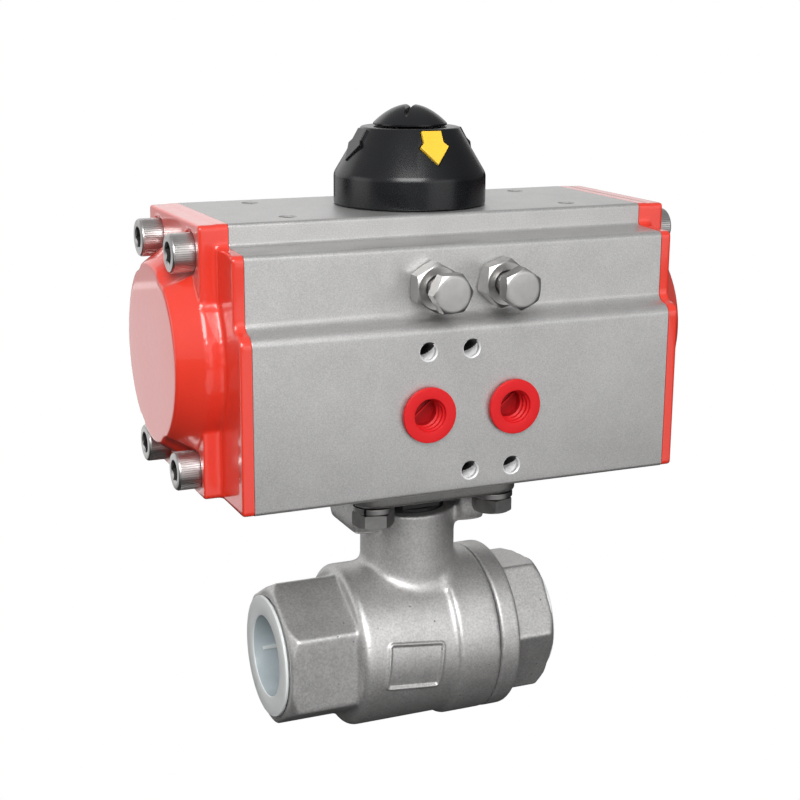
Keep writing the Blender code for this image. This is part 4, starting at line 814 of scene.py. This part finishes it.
# %% Bolts under the pad
for node in nodes_called("pad_bolt_"):
    low, high = box_mm(node)
    x, y = (low.x + high.x) / 2, (low.y + high.y) / 2
    made = bolt(high.z - low.z - BOLT_HEAD, 3.0, -atan2(y, x))
    # Their outside finish is the darker steel: painted shade under the actuator.
    piece(placed(made, along("-Z", (x, y, low.z + BOLT_HEAD))), node, outside="oiled_steel")
    washer = node.replace("bolt", "washer")
    ring = soften(spun([(3.3, 0), (5.7, 0), (5.7, 1.6), (3.3, 1.6)], 48), 0.2, 2)
    slit = moved(pulled(rectangle(0, 9, -0.35, 0.35), 3), 0, 0, -0.7)
    ring = placed(combined("DIFFERENCE", ring, slit), Matrix.Rotation(atan2(y, x), 4, "Z"))
    piece(moved(ring, x, y, box_mm(washer)[0].z), washer, outside="oiled_steel")

# %% [markdown]
# ## Port plugs
# Red plastic plugs keep dirt out of the two air ports. Seen from the front each is a flat washer round a deep
# hole, and inside the hole run two or three ridges, with a small bar across the bottom to pull it by. The
# whole section is spun, and the bottom of the hole gets a darker red as painted shade.

# %% Plugs
PLUG_DEEP, PLUG_FLANGE = 6.2, 7.15
PLUG = [
    (0, -PLUG_DEEP), (5.9, -PLUG_DEEP), (6.2, -5.8), (6.2, 0), (PLUG_FLANGE, 0), (PLUG_FLANGE, 1.3),
    (4.3, 1.3), (4.25, 0.5), (3.9, 0.15), (3.9, -0.25), (4.2, -0.6), (4.2, -1.2), (3.75, -1.55),
    (3.75, -1.95), (4.05, -2.3), (4.05, -2.9), (3.6, -3.2), (3.5, -5.0), (0, -5.0),
]


def on_flange(middle):
    return middle.z > 1.25 or (middle.z > -0.01 and hypot(middle.x, middle.y) > 7)


for side, x in zip(("left", "right"), PORT_X):
    plug = marked(soften(spun(PLUG), 0.22, 3, where=on_flange), 1, below=-3.0, within=3.8)
    bar = pulled(rectangle(-3.7, 3.7, -0.22, 0.22), 0.8)
    placed(bar, Matrix.Rotation(radians(40), 4, "Z") @ Matrix.Translation((0, 0, -5.4)))
    plug = combined("UNION", plug, bar)
    back = box_mm("port_plug_" + side)[1].y
    piece(placed(plug, along("-Y", (x, back - PLUG_DEEP, PORT_Z))), "port_plug_" + side, "red_depth")

# %% [markdown]
# ## The position indicator
# A black cup on top of the shaft turns with the valve: a short skirt and a cone. Yellow arrows sit in
# recesses at the front and back, and black ones stand out at the sides. The cup is spun, and one function
# makes every arrow flat and lays it on the cone, a little larger where it is the cutter of a recess.

# %% Cup and arrows
CUP_LOW = box_mm("indicator_cup")[0].z
SKIRT, CONE_FOOT, CONE_RISE, CONE_TOP = 20.4, CUP_LOW + 7.9, 12.3, 13.1
HOLLOW, ROOF, SCREW_HOLE = 17.7, CUP_LOW + 18.2, 3.3
CUP_TOP = CONE_FOOT + CONE_RISE
SLOPE = Vector((0, SKIRT - CONE_TOP, CONE_RISE)).normalized()
OUTWARD = Vector((0, -SLOPE.z, SLOPE.y))


def arrow(margin, low, high, quarter, edge=0.0):
    """A down-pointing arrow on the cone, from one height over the cone to another."""
    half = [(4.0 + 1.5 * margin, 9.2), (2.75 + margin, 10.4 + margin), (2.75 + margin, 13.7 + margin)]
    outline = [(0, 4.2 - 2 * margin)] + half + [(-x, up) for x, up in reversed(half)]
    bm = pulled([(x, up, 0) for x, up in outline], high - low)
    if edge:
        soften(bm, edge, 2, where=lambda middle: middle.z > high - low - 0.01)
    on_cone = Matrix((Vector((1, 0, 0)), SLOPE, OUTWARD)).transposed().to_4x4()
    foot = Matrix.Translation((0, -SKIRT, CONE_FOOT)) @ on_cone @ Matrix.Translation((0, 0, low))
    return placed(bm, Matrix.Rotation(quarter * pi / 2, 4, "Z") @ foot)


cup = spun([
    (HOLLOW, CUP_LOW), (SKIRT, CUP_LOW), (SKIRT, CONE_FOOT), (CONE_TOP, CUP_TOP), (SCREW_HOLE, CUP_TOP),
    (SCREW_HOLE, ROOF), (11.6, ROOF), (HOLLOW, CONE_FOOT),
], 128)
placed(cup, Matrix.Rotation(pi / 128, 4, "Z"))
soften(cup, 0.8, 5, where=lambda middle: abs(middle.z - CONE_FOOT) < 0.1 and hypot(middle.x, middle.y) > 19)
soften(cup, 0.45, 3, where=lambda middle: middle.z > CUP_TOP - 0.1 and hypot(middle.x, middle.y) > 12)
soften(cup, 0.3, 2, where=lambda middle: middle.z < CUP_LOW + 0.1)
cup = combined("DIFFERENCE", cup, arrow(0.3, -0.9, 2.3, 0), arrow(0.3, -0.9, 2.3, 2))
cup = combined("UNION", cup, arrow(0, -0.6, 0.45, 1, 0.15), arrow(0, -0.6, 0.45, 3, 0.15))
piece(cup, "indicator_cup")
piece(arrow(0, -0.6, 0.45, 0, 0.18), "arrow_insert_front")
piece(arrow(0, -0.6, 0.45, 2, 0.18), "arrow_insert_rear")

# %% [markdown]
# ## The mushroom screw
# A slotted screw with a wide domed head holds the cup down. The dome is a parabola, worked out point by point
# and spun. Its slot opens towards the top in a soft flare, and a Boolean leaves edges too short to bevel, so
# the flare is drawn into the cutter instead.

# %% Mushroom screw
low, high = box_mm("indicator_screw")
RIM_Z, PEAK = CUP_TOP + 0.3, high.z
HEAD_RIM, HEAD_RISE, HEAD_POWER = 9.85, PEAK - CUP_TOP - 0.9, 2.0
SLOT_FLOOR, SLOT_TURN = -2.8, radians(-33)
parts = [(16 - step) / 16 for step in range(17)]
head = [(HEAD_RIM * part, PEAK - HEAD_RISE * part ** HEAD_POWER) for part in parts]
mushroom = spun([(0, low.z), (3.0, low.z), (3.0, RIM_Z), (9.6, RIM_Z), (HEAD_RIM, RIM_Z + 0.2)] + head, 96)
flare = [(0.50, SLOT_FLOOR), (0.58, -1.5), (0.66, -1.0), (0.80, -0.65), (1.0, -0.38), (1.3, -0.16),
         (1.7, 0), (1.7, 1)]
slot = pulled([(x, up, 0) for x, up in flare] + [(-x, up, 0) for x, up in reversed(flare)], 24)
mushroom = combined("DIFFERENCE", mushroom, placed(slot, along("-Y", (0, 12, PEAK))))
piece(placed(mushroom, Matrix.Rotation(SLOT_TURN, 4, "Z")), "indicator_screw")

# %% [markdown]
# ## The valve casting
# The valve body is one casting: hexagon, barrel, neck, two pillars and a square pad. Like the caps it is
# built as a sharp solid and then cast. Its hexagon was turned after casting, which leaves arcs at the end
# face, so it is trimmed by a spun shape as a bolt head is. The other end of the valve has one too.

# %% Hexagon ends
LEFT_END, RIGHT_END = box_mm("valve_body")[0].x, box_mm("valve_end_cap")[1].x
PIPE_ACROSS, PIPE_CORNER, END_FACE, CHAMFER = 36.6, 21.4, 18.8, 2.4


def pipe_hexagon(start, end, first, chamfer_at_start):
    """A hexagon along X with a turned chamfer on its outer face."""
    prism = placed(hexagon(PIPE_ACROSS, end - start, first, 1.0), Matrix.Translation((start, 0, 0)) @ ALONG_X)
    if chamfer_at_start:
        profile = [(0, start), (END_FACE, start), (PIPE_CORNER, start + CHAMFER), (PIPE_CORNER, end + 1),
                   (0, end + 1)]
    else:
        profile = [(0, start - 1), (PIPE_CORNER, start - 1), (PIPE_CORNER, end - CHAMFER), (END_FACE, end),
                   (0, end)]
    return combined("INTERSECT", prism, placed(spun(profile, 96), along("+X")))


print("valve from", round(LEFT_END, 1), "to", round(RIGHT_END, 1), "mm")

# %% [markdown]
# ## Barrel, neck, pillars and pad
# The barrel is spun with a rounded shoulder on the left and a step up to its collar on the right. Neck and
# pillars run up to the pad, which has the bolt circle of the actuator. All of them reach into each other, so
# that the joins leave no gaps, and the casting makes one skin of them.

# %% The body as a sharp solid
NECK, NECK_TOP, BARREL, COLLAR = 13.3, 39.7, 22.85, 24.0
BARREL_LEFT, SHOULDER, COLLAR_RIGHT = -22, 2.2, 18.7
PILLAR_NEAR, PILLAR_FAR, PILLAR_HALF = 11.8, 20.0, 10
PAD_HALF, PAD_ROUND, PAD_LOW, PAD_TOP = 24, 6.5, 46.9, box_mm("valve_body")[1].z
bend = [pi / 2 * step / 8 for step in range(9)]
shoulder = [(BARREL - SHOULDER + SHOULDER * sin(angle), BARREL_LEFT + SHOULDER - SHOULDER * cos(angle))
            for angle in bend]
barrel = spun([(0, BARREL_LEFT)] + shoulder + [
    (BARREL, 5.5), (BARREL - 0.2, 5.7), (COLLAR, 6.5), (COLLAR, COLLAR_RIGHT), (0, COLLAR_RIGHT),
], 128)
valve = combined("UNION", placed(barrel, along("+X")), pipe_hexagon(LEFT_END, -19.4, radians(30), True),
                 rod(NECK, 0, NECK_TOP, 96))
for side in SIGNS:
    near, far = sorted((side * PILLAR_NEAR, side * PILLAR_FAR))
    pillar = pulled(rectangle(near, far, -PILLAR_HALF, PILLAR_HALF, 1.2), 15)
    valve = combined("UNION", valve, moved(pillar, 0, 0, 35))
pad = pulled(rectangle(-PAD_HALF, PAD_HALF, -PAD_HALF, PAD_HALF, PAD_ROUND), PAD_TOP - PAD_LOW)
valve = cast(combined("UNION", valve, moved(pad, 0, 0, PAD_LOW)), 0.52, 3)
print("valve casting", len(valve.faces), "faces before its fillets")

# %% [markdown]
# ## Wide fillets
# Some inner corners of the real casting are far rounder than the rest: at the foot of the neck, and where
# the pillars leave the neck and meet the pad. Vertices near those corners are picked by their distance to
# both surfaces and rubbed many more times.

# %% Rubbing the corners
rub(valve, 50, lambda p: (p.z > 8 and abs(hypot(p.y, p.z) - BARREL) < 2.8
                          and abs(hypot(p.x, p.y) - NECK) < 2.8))
rub(valve, 30, lambda p: 31 < p.z < 38 and 10.9 < abs(p.x) < 21 and abs(p.y) < 12.5)
rub(valve, 20, lambda p: 44 < p.z < 48 and 10.9 < abs(p.x) < 22.5 and abs(p.y) < 12.5)

# %% [markdown]
# ## The bare panel on the barrel
# A framed panel is cast into the front of the barrel. It follows the round surface, so it is drawn by its
# distance: for each vertex, how far it lies from a rounded rectangle that is wrapped round the barrel. The
# mesh is made finer there, then vertices near the outline are lifted and those inside are sunk a little.

# %% Frame and field of the panel
PANEL_X, PANEL_TILT, PANEL_HALF, PANEL_ROUND = -7.0, radians(-6), (8.4, 6.9), 1.5
FRAME_HIGH, FRAME_WIDE, FIELD_DEEP = 0.50, 0.50, 0.30


def panel_distance(point):
    """How far a point of the barrel lies outside the panel's rounded outline; negative inside."""
    x, s = point.x - PANEL_X, BARREL * atan2(point.z, -point.y)
    u = x * cos(PANEL_TILT) + s * sin(PANEL_TILT)
    v = s * cos(PANEL_TILT) - x * sin(PANEL_TILT)
    a, b = abs(u) - PANEL_HALF[0] + PANEL_ROUND, abs(v) - PANEL_HALF[1] + PANEL_ROUND
    return hypot(max(a, 0), max(b, 0)) + min(max(a, b), 0) - PANEL_ROUND


def on_panel(point):
    return point.y < 0 and abs(hypot(point.y, point.z) - BARREL) < 0.8 and panel_distance(point) < 1.5


near = [edge for edge in valve.edges if all(on_panel(vert.co) for vert in edge.verts)]
bmesh.ops.subdivide_edges(valve, edges=near, cuts=2, use_grid_fill=True)
for vert in valve.verts:
    if on_panel(vert.co):
        away = panel_distance(vert.co)
        lift = FRAME_HIGH * exp(-((away + 0.5) / FRAME_WIDE) ** 2)
        lift -= FIELD_DEEP * min(max((-away - 0.7) / 0.5, 0), 1)
        vert.co += Vector((0, vert.co.y, vert.co.z)).normalized() * lift
print("panel on", len(near), "edges")

# %% [markdown]
# ## Machining the casting
# A real casting comes solid or with rough cores, and the ways through it are cut afterwards. So the bores are
# cut last here too: the pipe thread's bore, the ball's chamber, the way of the stem and the holes in the pad.
# Their edges stay crisp, unlike everything the mould made.

# %% Bores
THREAD_BORE, THREAD_MOUTH, WATERWAY, SEAT_BORE, BOLT_HOLE = 15.2, 17.0, 11, 15.5, 3.3
way_through = placed(spun([
    (0, LEFT_END - 1), (THREAD_MOUTH, LEFT_END - 1), (THREAD_MOUTH, LEFT_END - 0.3),
    (THREAD_BORE, LEFT_END + 1.5), (THREAD_BORE, -24), (WATERWAY, -24), (WATERWAY, -20), (SEAT_BORE, -20),
    (SEAT_BORE, -9.26), (18.1, -9.26), (18.1, 9.26), (19.6, 9.26), (19.6, 20), (0, 20),
], 96), along("+X"))
stem_way = spun([(0, 9), (8.9, 9), (8.9, 21.9), (7.3, 21.9), (7.3, 27.0), (10.3, 27.0), (10.3, 40.5),
                 (0, 40.5)])
bolt_holes = together([moved(rod(BOLT_HOLE, 46, 56, 24), x, y, 0) for x, y in PAD_PLACES])
valve = combined("DIFFERENCE", valve, way_through, stem_way, rod(8.98, 46, 56, 48), bolt_holes)
piece(valve, "valve_body", sharp=80)

# %% [markdown]
# ## The screwed-in end
# The right half of the valve screws into the body. Its rim meets the body in a thin seam, and it carries a
# hexagon of its own, which stopped at a slightly different angle when it was tightened. It is cast and bored
# as the body is.

# %% Valve end cap
RIM_RIGHT = 25.1
end = spun([
    (0, 11.07), (19.3, 11.07), (19.3, 19.0), (COLLAR, 19.0), (COLLAR, RIM_RIGHT - 0.75),
    (COLLAR - 0.75, RIM_RIGHT), (0, RIM_RIGHT),
], 128)
end = combined("UNION", placed(end, along("+X")), pipe_hexagon(22.0, RIGHT_END, radians(54.5), False))
end = cast(end, 0.42, 3)
rub(end, 15, lambda p: 24.6 < p.x < 26.4 and hypot(p.y, p.z) < 22.0)
bored = placed(spun([
    (0, 10), (SEAT_BORE, 10), (SEAT_BORE, 20), (WATERWAY, 20), (WATERWAY, 24), (THREAD_BORE, 24),
    (THREAD_BORE, RIGHT_END - 1.5), (THREAD_MOUTH, RIGHT_END + 0.3), (THREAD_MOUTH, RIGHT_END + 1),
    (0, RIGHT_END + 1),
], 96), along("+X"))
piece(combined("DIFFERENCE", end, bored), "valve_end_cap", sharp=80)

# %% [markdown]
# ## Thread protectors
# Soft plastic cups are pushed into both pipe ends until they are fitted. The flange lies on the end face, the
# wall is thick, and four low ribs run along the inside of the cup. The cup is spun and the ribs are joined to
# it. Its inner wall has a darker milky finish, painted shade for the inside of the cup.

# %% Protectors
PROTECTOR_FLANGE, PROTECTOR_WALL, PROTECTOR_MOUTH = 16.9, 14.9, 11.3
for side, way in (("left", "-X"), ("right", "+X")):
    low, high = box_mm("thread_protector_" + side)
    face, depth = low.x if way == "-X" else high.x, high.x - low.x
    cup = spun([
        (0, -depth), (PROTECTOR_WALL - 0.4, -depth), (PROTECTOR_WALL, 0.5 - depth), (PROTECTOR_WALL, -0.9),
        (PROTECTOR_FLANGE, -0.9), (PROTECTOR_FLANGE, 0), (PROTECTOR_MOUTH, 0),
        (PROTECTOR_MOUTH - 0.2, 1.2 - depth), (0, 1.2 - depth),
    ], 96)
    soften(cup, 0.3, 3, where=lambda middle: middle.z > -1.0)
    marked(cup, 1, below=-0.5, within=PROTECTOR_MOUTH + 0.1)
    for angle in (12, 102, 192, 282):
        rib = pulled(rectangle(10.6, 12.0, -0.45, 0.45), 11.0)
        placed(rib, Matrix.Rotation(radians(angle), 4, "Z") @ Matrix.Translation((0, 0, 0.6 - depth)))
        cup = combined("UNION", cup, rib)
    piece(placed(cup, along(way, (face, 0, 0))), "thread_protector_" + side, "milky_wall")

# %% [markdown]
# ## Everything inside
# The pinion, the pistons, the ball and their bushes, seats and seals are right as the CAD has them. They show
# only in a cut or through a gap, so they keep their CAD meshes and get the finishes made above. The gland
# sits in the dark gap over the neck, so it gets the near-black painted shade of that gap.

# %% Finishes for the CAD nodes
# Painted shade: the gland parts take the near-black finish of the shaded gap.
PAINTED_SHADE_NODES = {"gland_nut": "oily_depth", "gland_ring": "oily_depth"}
kept = [name for name in frame["nodes"] if name not in MADE]
for name in kept:
    for spot in frame["nodes"][name].material_slots:
        spot.material = FINISH[PAINTED_SHADE_NODES.get(name, SLOT_OF[name])]
print(len(MADE), "nodes made again,", len(kept), "kept")
